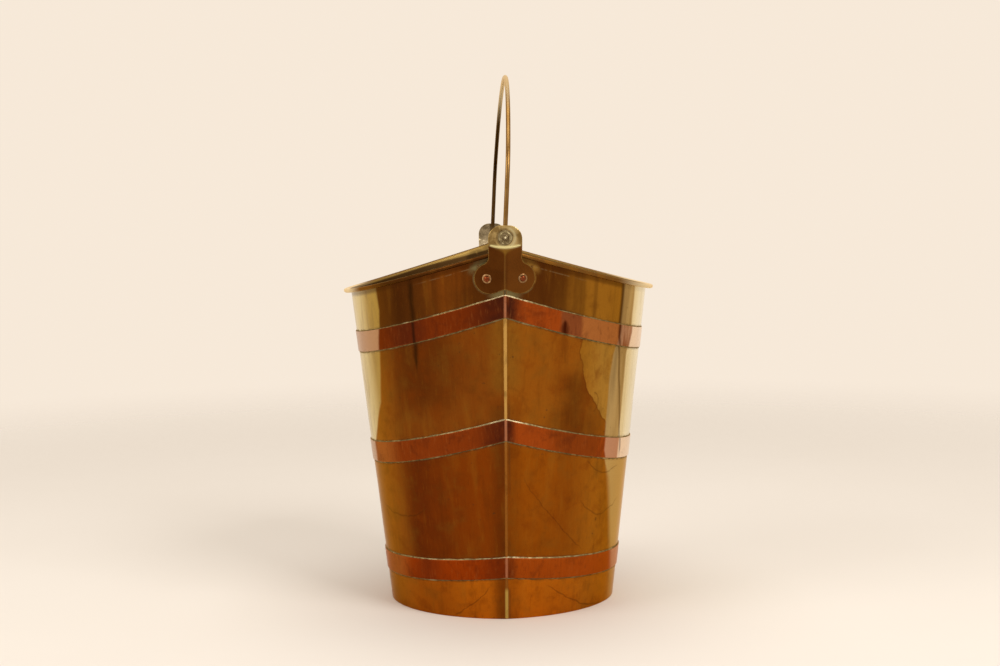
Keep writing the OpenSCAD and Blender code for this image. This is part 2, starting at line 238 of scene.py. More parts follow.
class Finish:
    """A finish under way: each call lays one node of its recipe and gives what it puts out."""

    def __init__(self, name):
        self.material = bpy.data.materials.new(name)
        self.material.use_nodes = True
        self.tree = self.material.node_tree
        self.surface = self.tree.nodes["Principled BSDF"]
        self.place = self.lay("TexCoord", out="Object")

    def lay(self, kind, inputs=None, out=0, **settings):
        node = self.tree.nodes.new("ShaderNode" + kind)
        for setting, value in settings.items():
            setattr(node, setting, value)
        for slot, value in (inputs or {}).items():
            self.feed(node.inputs[slot], value)
        return Spread(self, node.outputs[out])

    def feed(self, slot, value):
        if isinstance(value, Spread):
            self.tree.links.new(value.socket, slot)
        elif value is not None:
            slot.default_value = (*value, 1) if slot.type == "RGBA" else value

    def mark(self, name):
        return self.lay("Attribute", out="Fac", attribute_name=name)

    # Where a place on the piece lies, each laid when it is first asked for. The mark runs
    # from -1 at the left side by 0 at the ridges to 1 at the right side.
    sideways = cached_property(lambda f: f.lay("SeparateXYZ", {0: f.place}, out="X"))
    along = cached_property(lambda f: f.lay("SeparateXYZ", {0: f.place}, out="Y"))
    height = cached_property(lambda f: f.lay("SeparateXYZ", {0: f.place}, out="Z"))
    across = cached_property(lambda f: f.mark("across"))
    to_ridge = cached_property(lambda f: abs(f.sideways))
    to_side = cached_property(lambda f: abs(f.across))
    right = cached_property(lambda f: f.across.between(-0.004, 0.004))
    on_front = cached_property(lambda f: f.along.between(0.01, -0.01))

    def drawn(self, x=1, y=1, z=1):
        """The place, stretched for streaks and brush lines."""
        return self.lay("VectorMath", {0: self.place, 1: (x, y, z)}, operation="MULTIPLY")

    def cloud(self, size, detail=3, rough=0.55, warp=0.0, place=None):
        """Soft noise about 0.5, with spots of about the given size in metres."""
        inputs = {"Vector": place or self.place, "Scale": 1 / size, "Detail": detail}
        return self.lay("TexNoise", inputs | {"Roughness": rough, "Distortion": warp})

    def hairlines(self, size, width, warp=1.5, place=None):
        """Thin wandering lines, broken here and there."""
        line = self.cloud(size, 1, 0.4, warp, place).near(0.5, width)
        return line * self.cloud(size * 0.8, 2).between(0.45, 0.6)

    def done(self, colour, roughness, relief=None, depth=0.0001, metal=1.0, graze=None):
        """Finishes the recipe. Graze tints what the surface mirrors at a flat angle."""
        self.feed(self.surface.inputs["Base Color"], colour)
        self.feed(self.surface.inputs["Roughness"], roughness)
        self.feed(self.surface.inputs["Specular Tint"], graze)
        self.surface.inputs["Metallic"].default_value = metal
        if relief is not None:
            bump = self.lay("Bump", {"Height": relief, "Distance": depth})
            self.feed(self.surface.inputs["Normal"], bump)
        return self.material


# Where the three bands lie on the wall, for their grime and for the bands themselves
band_w = 0.021
top_band_drop = 0.055
middle_band_z = 0.1595
middle_band_rise = 0.036
bottom_band_z = 0.0435
bottom_band_rise = 0.011

# The ears' lobes, where verdigris gathers
lobe_r = 0.015
lobe_x = 0.0142
lobe_drop = 0.028

amber_left = (0.2, 0.054, 0.0052)
amber_left_low = (0.205, 0.042, 0.0026)
amber_right = (0.262, 0.08, 0.006)
amber_right_low = (0.262, 0.068, 0.0032)
amber_foot = (0.48, 0.13, 0.0056)
brown_left = (0.1, 0.024, 0.003)
brown_left_low = (0.108, 0.0195, 0.0026)
brown_right = (0.128, 0.035, 0.0034)
umber = (0.06, 0.017, 0.003)
umber_top_shade = (0.088, 0.026, 0.0038)
drip_black = (0.022, 0.008, 0.002)
olive_brass = (0.31, 0.128, 0.012)
olive_pale = (0.385, 0.192, 0.03)
olive_low = (0.34, 0.125, 0.009)
olive_left = (0.32, 0.112, 0.012)
moss = (0.16, 0.066, 0.008)
russet = (0.17, 0.034, 0.0024)
ridge_highlight_gold = (0.225, 0.094, 0.01)
grey_brass = (0.47, 0.325, 0.135)
grey_reflection_streak = (0.33, 0.215, 0.085)
grey_dim = (0.25, 0.17, 0.075)
left_bright = (0.44, 0.275, 0.045)
left_edge_bright = (0.7, 0.55, 0.225)
left_reflection_streak = (0.27, 0.165, 0.035)
right_bright = (0.79, 0.62, 0.3)
right_edge_bright = (0.9, 0.78, 0.48)
right_reflection_streak = (0.48, 0.35, 0.11)
low_bright = (0.5, 0.33, 0.115)
lip_umber = (0.062, 0.02, 0.0038)
lip_orange = (0.2, 0.076, 0.012)
lip_amber = (0.16, 0.07, 0.015)
lip_reflection_pale = (0.9, 0.81, 0.56)
lip_wax = (0.26, 0.2, 0.1)
inside_olive = (0.3, 0.205, 0.075)
inside_brown = (0.15, 0.078, 0.025)
inside_shade_umber = (0.044, 0.017, 0.0035)
rim_gold = (0.215, 0.135, 0.038)
dark_stain = (0.06, 0.028, 0.01)
verdigris = (0.19, 0.165, 0.072)
brass_wax = (0.34, 0.18, 0.035)
tarnish_graze = (0.95, 0.74, 0.5)
clean_graze = (1, 1, 1)

# Edges of the strips of painted reflection and of the painted dark line by them, as (height, across) up the
# wall
left_strip_edge = ((0.31, 0.806), (0.215, 0.87), (0.172, 0.952))
grey_strip_edge = ((0.282, 0.787), (0.262, 0.752), (0.24, 0.742), (0.165, 0.742),
                   (0.15, 0.772), (0.02, 0.902))
bright_strip_edge = ((0.282, 0.882), (0.262, 0.864))
dark_reflection_line = ((0.32, 0.792), (0.28, 0.786), (0.165, 0.88))

# The olive field's edge, likewise, and where the drip and the chip lie
olive_edge = ((0.264, 0.515), (0.232, 0.575), (0.192, 0.75))
drip_across = -0.588
curl_across, curl_z = 0.632, 0.2165
chip_across, chip_z = 0.725, 0.0934

# Tide lines of old polish: both ends as (across, height), and how far each one sags
tide_lines = (((0.105, 0.15), (0.64, 0.063), 0.006), ((0.56, 0.121), (0.93, 0.112), 0.018),
              ((0.6, 0.16), (0.9, 0.147), 0.011), ((0.309, 0.036), (0.86, 0.001), 0.007),
              ((-0.98, 0.11), (-0.6, 0.114), 0.013), ((-0.46, 0.001), (-0.12, 0.036), 0.004))
tide_w = 0.0013


def reflection_strips(f):
    """Shares of the painted reflections on the sides: left strip, grey strip, bright strip and dark line."""
    place = f.across + (f.cloud(0.045, 2, 0.4) - 0.5) * 0.022
    ragged = (f.cloud(0.035, 4, 0.6, 0.6) - 0.5) * 0.14
    front = (f.along + ragged).between(0.09, 0.018)
    band_foot = (1 - f.to_side) ** sheer * middle_band_rise + (middle_band_z - band_w / 2)
    above = (f.height - band_foot).between(-0.0004, 0.0006)
    left = (place + f.height.path(*left_strip_edge)).between(0.006, -0.01) * above
    grey_fade = f.height.ramp(0.15, 0.135, 0.009, 0.045)
    grey = (place - f.height.path(*grey_strip_edge)).between(-0.007, grey_fade)
    bright = (place - f.height.path(*bright_strip_edge)).between(-0.009, 0.009) * above
    line = place.near(f.height.path(*dark_reflection_line), f.height.ramp(0.262, 0.285, 0.013, 0.021))
    line = line * f.height.between(0.15, 0.165) * f.height.ramp(0.255, 0.285, 0.68, 1)
    return [strip * front for strip in (left, grey, bright, line)]


def amber_faces(f, drift, over_middle, above_middle, above_bottom):
    """Amber of the two faces, field by field between the bands, the ambers differing as painted reflection,
    browner in a zone of painted shade on each face.
    """
    upper = f.right.blend(amber_left, amber_right)
    lower = f.right.blend(amber_left_low, amber_right_low)
    colour = above_bottom.blend(amber_foot, above_middle.blend(lower, upper))
    brown = f.right.blend(above_middle.blend(brown_left_low, brown_left), brown_right)
    clear = above_middle * over_middle.between(0.055, 0.022)
    # Zones of painted shade on each face, the left one fainter just above the middle band
    left_shade_zone = drift.near(above_middle.ramp(0, 1, -0.64, -0.58), 0.43) * (1 - f.right)
    left_shade_zone = left_shade_zone * (1 - clear * 0.8)
    right_shade_zone = drift.near(0.49, 0.24) * over_middle.between(0.082, 0.058)
    right_shade_zone = right_shade_zone * (above_middle * 0.72 + 0.28)
    colour.paint(brown, (left_shade_zone | right_shade_zone) * above_bottom.ramp(0, 1, 0.45, 0.95))
    # A painted highlight by the ridge above the middle band, and painted shade by it lower down
    at_ridge = f.to_side.between(0.16, 0.03)
    colour.paint(ridge_highlight_gold, at_ridge * over_middle.between(0.03, 0.055) * 0.7)
    shaded = at_ridge * over_middle.between(0.04, 0.015)
    colour.paint(brown_left, shaded * f.right.ramp(0, 1, 0.7, 0.35))
    return colour


def shaded_top_field(f, drift, uneven):
    """Above the top band: umber of painted shade under the lip, with upright stripes of painted reflection,
    turning olive towards the right.
    """
    grain = f.lay("CombineXYZ", {0: f.across * 14, 1: f.height * 2})
    top = (drift.near(-0.36, 0.22) * 0.75).blend(umber_top_shade, amber_left)
    top.paint(umber, f.across.near(-0.675, 0.085) * 0.85)
    top.paint(olive_brass, (f.across + uneven * 0.5).between(0.26, 0.64))
    # Upright stripes of painted reflection
    top.paint(umber, f.cloud(1, 2, 0.5, place=grain).between(0.44, 0.66) * 0.4)
    return top


def lay_olive(f, colour, wave, above_middle, above_top):
    """An olive field with a wavy edge and a curl on the right, and olive down the left edge."""
    past = f.across + wave * 0.055 - f.height.path(*olive_edge)
    field = above_middle * (1 - above_top)
    olive = f.across.between(0.52, 0.72).blend(olive_brass, olive_pale)
    colour.paint(olive, past.between(-0.004, 0.006) * field)
    colour.paint(brown_left, past.near(-0.002, 0.007) * field * 0.55)
    colour.paint(olive_low, f.across.between(0.44, 0.72) * (1 - above_middle) * 0.6)
    colour.paint(olive_left, f.across.between(-0.68, -0.93) * above_top.ramp(0, 1, 0.85, 0.3))
    curl = f.lay("CombineXYZ", {0: (f.across - curl_across) * 28, 1: (f.height - curl_z) * 105})
    curl = f.lay("VectorMath", {0: curl}, out="Value", operation="LENGTH").near(1.0, 0.13)
    colour.paint(brown_left, curl * f.across.between(0.626, 0.64) * f.on_front * 0.5)


def mottle(f, colour, wave, streaks, brushing, above_top):
    """Mottling, streaks, brush lines, and one long drip from the lip on the front."""
    mould = f.cloud(0.022, 5, 0.62, 0.15)
    below_top = 1 - above_top
    colour.paint(moss, mould.between(0.47, 0.72) * below_top * 0.38)
    colour.paint(russet, mould.between(0.5, 0.3) * below_top * 0.4)
    colour.paint(brown_left, f.cloud(0.016, 4, 0.6, 0.3).between(0.5, 0.74) * 0.3)
    colour.paint(olive_brass, streaks.between(0.5, 0.76) * 0.2)
    colour.paint(umber, streaks.between(0.46, 0.26) * 0.22)
    colour.paint(umber, brushing.between(0.54, 0.72) * 0.22)
    colour.paint(olive_brass, brushing.between(0.44, 0.28) * 0.16)
    drip = (f.across + wave * 0.02).near(drip_across, f.height.ramp(0.248, 0.268, 0.006, 0.026))
    drip = drip * f.height.between(0.246, 0.262) * f.along.between(0, -0.02)
    colour.paint(drip_black, drip * 0.75)


def lay_reflection_strips(f, colour, strips, streaks, above_middle):
    """Painted reflections on the sides: a bright strip on the left, a grey and a bright one on the right,
    and a dark line.
    """
    left_strip, grey_strip, bright_strip, line = strips
    strip_streaks = streaks * 0.4 + 0.78
    smears = f.cloud(0.009, 4, 0.6, 0.7, f.drawn(z=0.14))
    pale = f.across.between(-0.87, -0.95).blend(left_bright, left_edge_bright)
    pale.paint(left_reflection_streak, smears.between(0.46, 0.7) * 0.42)
    colour.paint(pale, left_strip * strip_streaks)
    grey = streaks.between(0.3, 0.62).blend(grey_brass, grey_reflection_streak)
    grey.paint(grey_dim, f.across.near(0.778, 0.03) * f.height.between(0.195, 0.245) * 0.7)
    grey = above_middle.blend(low_bright, grey)
    colour.paint(grey, grey_strip * f.height.ramp(0.02, 0.07, 0.45, 0.92))
    pale = f.across.between(0.88, 0.94).blend(right_bright, right_edge_bright)
    pale.paint(right_reflection_streak, smears.between(0.5, 0.72) * 0.35)
    colour.paint(pale, bright_strip * strip_streaks)
    colour.paint(umber, line * 0.92)


def green_by_ears(f, at_end):
    """Verdigris round the ears' lobes and in the notch under the lip, waxy on the right."""
    off_x = f.to_ridge - lobe_x
    off_z = f.height - (end_h - lobe_drop)
    away = (off_x * off_x + off_z * off_z) ** 0.5 - lobe_r
    flakes = f.cloud(0.0075, 3, 0.5)
    ring = away.between(0.0019, 0.0001) * flakes.between(0.25, 0.62)
    drifted = away.between(0.009, 0.002) * flakes.between(0.28, 0.52) * off_z.between(0.001, 0.012)
    notch = f.to_side.between(0.13, 0.04) * f.height.between(0.3235, 0.3265) * 0.8
    colour = (f.right * off_z.between(-0.014, -0.004)).blend(verdigris, brass_wax)
    return colour, (ring * 0.55 | drifted | notch) * at_end


def tide_marks(f, wave):
    """Thin tide lines of old polish, which hang between two places, and a chip."""
    height = f.height + wave * 0.008
    lines = f.across.near(chip_across, 0.012) * f.height.near(chip_z, 0.0034)
    for start, end, sag in tide_lines:
        run = f.across.ramp(start[0], end[0], 0, 1)
        level = run.ramp(0, 1, start[1], end[1]) - run * (1 - run) * (4 * sag)
        line = height.near(level, tide_w) * run.between(0, 0.15) * run.between(1, 0.85)
        lines = lines | line * 0.7
    return lines * f.on_front


def lip_brass(f, streaks):
    """The lip, browner on the left, and bright at both sides with painted reflection."""
    rim = f.right.blend(lip_umber, lip_amber)
    rim.paint(olive_brass, streaks.between(0.45, 0.65) * f.right.ramp(0, 1, 0.1, 0.35))
    rim.paint(lip_orange, f.across.near(-0.86, 0.16) * f.on_front * 0.85)
    # Painted reflection: pale towards both ends
    rim.paint(lip_reflection_pale, f.to_side.between(f.right.ramp(0, 1, 0.87, 0.69), 0.97))
    return rim


def dull_inside(f, blotches, streaks, spots, uneven, below_lip):
    """The inside, with painted shade under the rim and a gold strip along the rim's inside edge."""
    bloom = f.right.blend(inside_olive, inside_brown)
    bloom.paint(inside_brown, blotches.between(0.4, 0.7) * 0.55)
    bloom.paint(umber, streaks.between(0.52, 0.74) * 0.35)
    bloom.paint(dark_stain, f.height.between(0.07, 0.009) * spots.between(0.3, 0.6) * 0.7)
    # Painted shade on the inner wall for a few centimetres below the lip
    bloom.paint(inside_shade_umber, below_lip.between(0.06, 0.01) * 0.92)
    gold_depth = f.to_ridge.ramp(0.012, 0.08, 0.005, 0.0006) * f.right.ramp(0, 1, 1, 0.2)
    gold_depth = gold_depth + (uneven * 0.002 + 0.0012)
    gold = (below_lip - gold_depth).between(0.001, -0.001)
    bloom.paint(rim_gold, gold * f.right.ramp(0, 1, 1.0, 0.6))
    return bloom


def aged_sheet_brass():
    f = Finish("aged_sheet_brass")
    lift = f.mark("lift")
    inside = f.mark("inside")
    lip = f.mark("lip")
    streaks = f.cloud(0.012, place=f.drawn(z=0.1))
    brushing = f.cloud(0.0018, 4, 0.7, place=f.drawn(z=0.05))
    blotches = f.cloud(0.05, 5, 0.6, 0.5)
    spots = f.cloud(0.006, 3, 0.7)
    uneven = (blotches - 0.5) * 0.35
    wave = f.cloud(0.02, 2, 0.5, 0.8) - 0.5

    # How far this place lies above the middles of the bands, and from their edges
    lip_z = lift * end_rise + side_h
    over_top = f.height - (lip_z - top_band_drop)
    over_middle = f.height - (lift * middle_band_rise + middle_band_z)
    over_bottom = f.height - (lift * bottom_band_rise + bottom_band_z)
    over = (over_top, over_middle, over_bottom)
    above_top, above_middle, above_bottom = [gap.between(0, 0.001) for gap in over]
    to_edge = [abs(abs(gap) - band_w / 2) for gap in over]

    drift = f.across + uneven
    colour = amber_faces(f, drift, over_middle, above_middle, above_bottom)
    # Painted shade and reflection above the top band
    colour.paint(shaded_top_field(f, drift, uneven), above_top)
    lay_olive(f, colour, wave, above_middle, above_top)
    mottle(f, colour, wave, streaks, brushing, above_top)
    # Strips of painted reflection on both sides
    strips = reflection_strips(f)
    lay_reflection_strips(f, colour, strips, streaks, above_middle)
    left_strip, grey_strip, bright_strip, line = strips

    # Grime and wax along the bands, painted shadow beside the ridges, green about the ears, painted shadow
    # under the lip, and pin-holes
    grime = (to_edge[0] & to_edge[1] & to_edge[2]).between(0.0032, 0.0008)
    grime = grime * spots.between(0.3, 0.62) * (1 - inside)
    colour.paint(dark_stain, grime * 0.6)
    # Painted shadow beside each ridge seam's bead, broken by blotches, stronger on the right
    seam_shadow = f.to_ridge.near(0.0032, 0.002) * blotches.between(0.42, 0.62)
    colour.paint(dark_stain, seam_shadow * f.right.ramp(0, 1, 0.15, 0.45))
    at_end = f.to_side.between(0.6, 0.4)
    bloomed, green = green_by_ears(f, at_end)
    colour.paint(bloomed, green * 0.92)
    below_lip = lip_z - f.height
    # Painted shadow under the lip, weaker over the grey strip
    shade = below_lip.between(0.0095, 0.0055)
    colour.paint(umber, shade * grey_strip.ramp(0, 1, 0.6, 0.15))
    wax = below_lip.near(0.0092, 0.0009) * spots.between(0.36, 0.58)
    colour.paint(lip_wax, wax * at_end * 0.34)
    colour.paint(umber, tide_marks(f, wave) * 0.65)
    pits = f.cloud(0.0045, 2, 0.5).between(0.71, 0.78)
    colour.paint(dark_stain, pits * 0.6)

    colour.paint(lip_brass(f, streaks), lip)
    colour.paint(dull_inside(f, blotches, streaks, spots, uneven, below_lip), inside)
    graze = ((left_strip | bright_strip) * (1 - lip)).blend(tarnish_graze, clean_graze)
    roughness = blotches * 0.14 + 0.13 + (grime | green) * 0.3 + (inside | lip * 0.6) * 0.24
    relief = brushing * 0.12 + spots * 0.25 - pits * 0.6
    return f.done(colour, roughness, relief, 0.00005, graze=graze)


def lip_face(way):
    """One face of the lip, outer (-1) or inner (1), as steps out and up from the lip's bend."""
    roll_r = rim_wire_r + wire_gap + sheet_t / 2
    bend = (lip_bend_r, lip_bend_r - sheet_t / 2, np.linspace(180, 90, 7))
    roll = (roll_r, lip_w - roll_r - sheet_t / 2, np.linspace(90, -180, 19))
    out, up = [], []
    for r, middle, angles in (bend, roll):
        a = np.radians(angles)
        out.append(middle + (r + way * sheet_t / 2) * np.cos(a))
        up.append((r + way * sheet_t / 2) * np.sin(a) - (r + sheet_t / 2))
    return np.concatenate(out), np.concatenate(up)


wall_columns = 133
wall_rows = 84
foot_bevel = 0.0003
first_z = 0.004
lip_soft = 0.0015
turns = np.linspace(front_ridge, back_ridge, wall_columns)
outer_out, outer_up = lip_face(-1)
inner_out, inner_up = lip_face(1)
upright = np.zeros(wall_rows + 1)
bevel = upright.copy()
bevel[0] = -foot_bevel
wall_out = np.concatenate([bevel, outer_out, inner_out[::-1], (-sheet_t - bevel)[::-1]])
on_outer = np.concatenate([upright, eased(outer_out, 0, lip_soft)])
on_inner = np.concatenate([upright, eased(inner_out, 0.0002, lip_soft)])[::-1]
lip_mark = np.concatenate([on_outer, on_inner])
inside_mark = np.concatenate([0 * on_outer, 1 - on_inner])


def wall_section(g, side):
    """The sheet cut through at one place: up its outer face, round the lip and down inside."""
    top = lip_height(g)
    heights = np.linspace(first_z, top - lip_bend_r - sheet_t / 2, wall_rows)[:-1]
    heights = np.concatenate([[0, foot_bevel], heights])
    z = np.concatenate([heights, top + outer_up, top + inner_up[::-1], heights[::-1]])
    return wall_point(g, z, wall_out, side)


sheet_brass = aged_sheet_brass()
for name, side in (("wall_right", 1), ("wall_left", -1)):
    sections = [wall_section(g, side) for g in turns]
    count = len(wall_out)
    marks = {"across": np.repeat(side * np.cos(turns), count), "lift": np.repeat(climb(turns), count),
             "lip": np.tile(lip_mark, wall_columns), "inside": np.tile(inside_mark, wall_columns)}
    wall = piece(name, sections, sheet_skin(wall_columns, count), "bucket", sheet_brass, marks, 40)
    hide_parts("body_right" if side > 0 else "body_left")


# Ridge seams: a bead of yellow spelter run down each butt joint and filed nearly flush.
# It shows between the bands, a little lumpy and brighter than the sheet, with a painted highlight along its
# crest.
bead_w = 0.0034
bead_w_foot = 0.0044
bead_w_top = 0.0044
bead_h = 0.0004
bead_root = 0.0004
bead_edge = 0.0001
bead_rings_per_m = 750
bead_foot_z = 0.0006
ear_notch_z = end_h - 0.04
spelter_brown = (0.265, 0.095, 0.014)
spelter_gold = (0.52, 0.3, 0.08)
spelter_foot = (0.5, 0.33, 0.075)
spelter_top = (0.1, 0.07, 0.03)
spelter_side_brown = (0.15, 0.048, 0.007)
spelter_side_gold = (0.29, 0.13, 0.018)


def yellow_spelter():
    f = Finish("yellow_spelter")
    lumps = f.cloud(0.006, place=f.drawn(z=0.35))
    # Painted highlight on the crest and painted reflection on the sides: gold above the middle band, brown
    # below, pale at the foot
    upper = f.height.between(0.17, 0.215)
    crest = upper.blend(spelter_brown, spelter_gold)
    crest.paint(spelter_foot, f.height.between(0.034, 0.028))
    crest.paint(spelter_top, f.height.between(0.321, 0.325))
    colour = upper.blend(spelter_side_brown, spelter_side_gold)
    colour.paint(crest, f.mark("crest").between(0.05, 0.9))
    colour.paint(umber, lumps.between(0.52, 0.75) * 0.4)
    return f.done(colour, lumps * 0.2 + 0.16, lumps, 0.0001, graze=tarnish_graze)


def band_middles(g):
    """Heights of the bottom, middle and top bands' middles."""
    return (bottom_band_z + bottom_band_rise * climb(g), middle_band_z + middle_band_rise * climb(g),
            lip_height(g) - top_band_drop)


def ridge_bead(end):
    """The bead's points and faces, in four lengths: three below the bands and one to the ear."""
    mids = band_middles(np.array(back_ridge))
    stops = [bead_foot_z] + [z for m in mids for z in (m - band_w / 2, m + band_w / 2)] + [ear_notch_z]
    points, faces, crests = [], [], []
    dice = np.random.default_rng(21 if end < 0 else 22)
    for low, high in zip(stops[::2], stops[1::2]):
        heights = np.linspace(low, high, max(4, int(bead_rings_per_m * (high - low))))
        faces += skin(len(heights), 6, len(points), capped=True)
        for z in heights:
            crest = abs(wall_point(back_ridge, z, 0, 1)[1])
            share = z / end_h
            slope = mix(foot_point, neck_point, share) / half_width(share)
            w = mix(bead_w, bead_w_top, eased(z, 0.195, 0.29)) / 2 * dice.uniform(0.94, 1.05)
            w = mix(w, bead_w_foot / 2, eased(z, 0.04, 0.03))
            h = bead_h * dice.uniform(0.85, 1.1)
            ring = [(-w, -bead_edge), (-0.55 * w, 0.62 * h), (0, h), (0.55 * w, 0.62 * h),
                    (w, -bead_edge), (0, -bead_root)]
            points += [(x, end * (crest - slope * abs(x) + up), z) for x, up in ring]
            crests += [0, 0.7, 1, 0.7, 0, 0]
    return points, faces, crests


spelter = yellow_spelter()
for name, end in (("front_ridge_seam", -1), ("back_ridge_seam", 1)):
    points, faces, crests = ridge_bead(end)
    seam = piece(name, points, faces, "bucket", spelter, {"crest": crests}, 70)


# Bottom plate: sheet brass with a flange turned down all round, let into the foot and
# soldered from inside. It is scraped and dusty, and a little out of flat.
bottom_z = 0.009
bottom_t = 0.001
flange_z = 0.0005
flange_gap = 0.0001
flange_out = -(sheet_t + flange_gap)
plate_bend_r = 0.0018
plate_sag = 0.0004
plate_rings = 26
plate_bright = (0.3, 0.19, 0.07)
plate_dust = (0.11, 0.062, 0.026)


def scraped_brass():
    f = Finish("scraped_brass")
    dust = f.cloud(0.04, 4, 0.6, 0.5)
    grit = f.cloud(0.003, 3, 0.7)
    colour = dust.between(0.35, 0.65).blend(plate_bright, plate_dust)
    colour.paint(dark_stain, grit.between(0.55, 0.68) * 0.6)
    colour.paint(right_bright, f.hairlines(0.03, 0.01, 0.3, f.drawn(x=0.25)) * 0.5)
    return f.done(colour, dust * 0.3 + 0.28, dust + grit * 0.3, 0.0003)


def full_ring(out, z):
    """A level line all the way round, from the front ridge by the right side and back."""
    right = wall_point(turns, z, out, 1)
    left = wall_point(turns, z, out, -1)
    return np.concatenate([right, left[-2:0:-1]])


def bend_rings(r, inward):
    """Level lines up the flange's bend, on the plate's outer face or in from it by its sheet."""
    return [full_ring(flange_out - inward - r * (1 - math.cos(a)), bottom_z - inward - r * (1 - math.sin(a)))
            for a in np.radians(np.linspace(0, 90, 6))]


bend = bend_rings(plate_bend_r, 0)
middle = np.array([0, 0, bottom_z])
flat = []
for share in np.linspace(1, 0.02, plate_rings)[1:]:
    ring = middle + (bend[-1] - middle) * [share, share, 1]
    sag = plate_sag * np.sin(ring[:, 0] * 37 + 1) * np.sin(ring[:, 1] * 41 + 2) * eased(1 - share, 0, 0.2)
    flat.append(ring - np.outer(abs(sag), [0, 0, 1]))
under = [ring - [0, 0, bottom_t] for ring in flat[::-1]]
under += bend_rings(plate_bend_r - bottom_t, bottom_t)[::-1]
flange = [full_ring(flange_out - bottom_t, flange_z), full_ring(flange_out, flange_z)]
rings = under + flange + bend + flat
plate_faces = skin(len(rings), len(flat[0]), capped=True)
plate = piece("bottom_plate_scraped", rings, plate_faces, "bucket", scraped_brass())
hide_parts("bottom_plate")


# Solder round the bottom plate: a soft grey fillet of tin and lead, run into the corner
# inside with a hot iron and wiped, so that it is a little wavy and uneven.
solder_leg = 0.0028
solder_grey = (0.3, 0.275, 0.215)
solder_dull = (0.16, 0.13, 0.085)


def wiped_solder():
    f = Finish("wiped_solder")
    lumps = f.cloud(0.006, 4, 0.6)
    colour = lumps.between(0.35, 0.65).blend(solder_grey, solder_dull)
    colour.paint(dark_stain, f.cloud(0.002).between(0.55, 0.65) * 0.7)
    return f.done(colour, lumps * 0.2 + 0.34, lumps, 0.0004)


corner = full_ring(-sheet_t + 0.00005, bottom_z)
around = np.linspace(0, 2 * math.pi, len(corner), endpoint=False)
legs = solder_leg * (0.85 + 0.2 * np.sin(around * 17) * np.sin(around * 5 + 1))
inward = corner * [-1, -1, 0] / np.linalg.norm(corner[:, :2], axis=1)[:, None]
fillet = [corner - [0, 0, 0.0006]]
for a in np.linspace(0, math.pi / 2, 5):
    low = corner + inward * (legs * (1 - math.sin(a)))[:, None]
    fillet.append(low + np.outer(legs * (1 - math.cos(a)), [0, 0, 1]) - [0, 0, 0.0002])
fillet_faces = skin(len(fillet), len(corner), looped=True)
solder = piece("bottom_solder", fillet[::-1], fillet_faces, "bucket", wiped_solder())


# Rim wire: plain iron wire that stiffens the lip. The sheet's edge is rolled over it, so
# that hardly any of it shows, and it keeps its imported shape.
iron_grey = (0.19, 0.18, 0.17)
iron_rust = (0.16, 0.07, 0.03)


def iron_wire():
    f = Finish("iron_wire")
    rust = f.cloud(0.006, 4, 0.7)
    colour = rust.between(0.45, 0.62).blend(iron_grey, iron_rust)
    return f.done(colour, rust * 0.3 + 0.35, rust, 0.0001)


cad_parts["rim_wire"].data.materials.clear()
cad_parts["rim_wire"].data.materials.append(iron_wire())


# Bands: six half strips of copper, mitred at the ridges and sweated on with soft solder.
# They are dark red by the ridges, in painted shade, and pale where the sides bulge, in painted reflection.
band_t = 0.001
solder_gap = 0.00012
band_round = 0.00032
copper_dark = (0.068, 0.013, 0.0048)
copper_purple = (0.052, 0.012, 0.0055)
copper_left = (0.162, 0.026, 0.0032)
copper_middle_left = (0.205, 0.036, 0.0044)
copper_right = (0.3, 0.054, 0.0062)
copper_shade = (0.2, 0.04, 0.005)
copper_low_left = (0.29, 0.041, 0.0022)
copper_low_right = (0.33, 0.062, 0.0048)
copper_mauve = (0.212, 0.058, 0.0175)
copper_pink = (0.37, 0.128, 0.032)
copper_low_pink = (0.335, 0.105, 0.022)
copper_grey = (0.47, 0.27, 0.155)
copper_low_grey = (0.49, 0.255, 0.15)
copper_left_bright = (0.5, 0.27, 0.125)
copper_right_bright = (0.88, 0.64, 0.42)
copper_mitre = (0.47, 0.19, 0.095)
copper_blot = (0.05, 0.008, 0.002)
copper_drip = (0.022, 0.007, 0.003)
copper_graze = (0.95, 0.66, 0.5)
blot_across = 0.392


def red_halves(f, drift, smears, on_top, low):
    """The halves' reds, differing by side and band as painted reflection, with painted shade in a zone of
    each face, mauve and pink on the right, and pale painted reflection at the lower bands' left ends.
    """
    level = (1 - on_top) * (1 - low)
    colour = f.right.blend(level.blend(copper_left, copper_middle_left), copper_right)
    colour.paint(f.right.blend(copper_low_left, copper_low_right), low)
    colour.paint(copper_dark, drift.near(-0.64, 0.2) * (on_top * 0.7 + low * 0.5))
    colour.paint(copper_shade, drift.between(0.26, 0.42) * drift.between(0.73, 0.66) * level * 0.9)
    colour.paint(copper_mauve, (f.across + smears * 0.05).between(0.375, 0.405) * on_top)
    colour.paint(copper_pink, (f.across + smears * 0.03).between(0.505, 0.54) * on_top)
    blot = f.across.near(blot_across, f.height.ramp(0.301, 0.294, 0.014, 0.046))
    blot = blot * f.height.between(0.303, 0.2985) * on_top
    colour.paint(copper_blot, blot * f.along.between(0, -0.02))
    colour.paint(copper_low_pink, f.across.between(-0.74, -0.9) * (1 - on_top))
    return colour


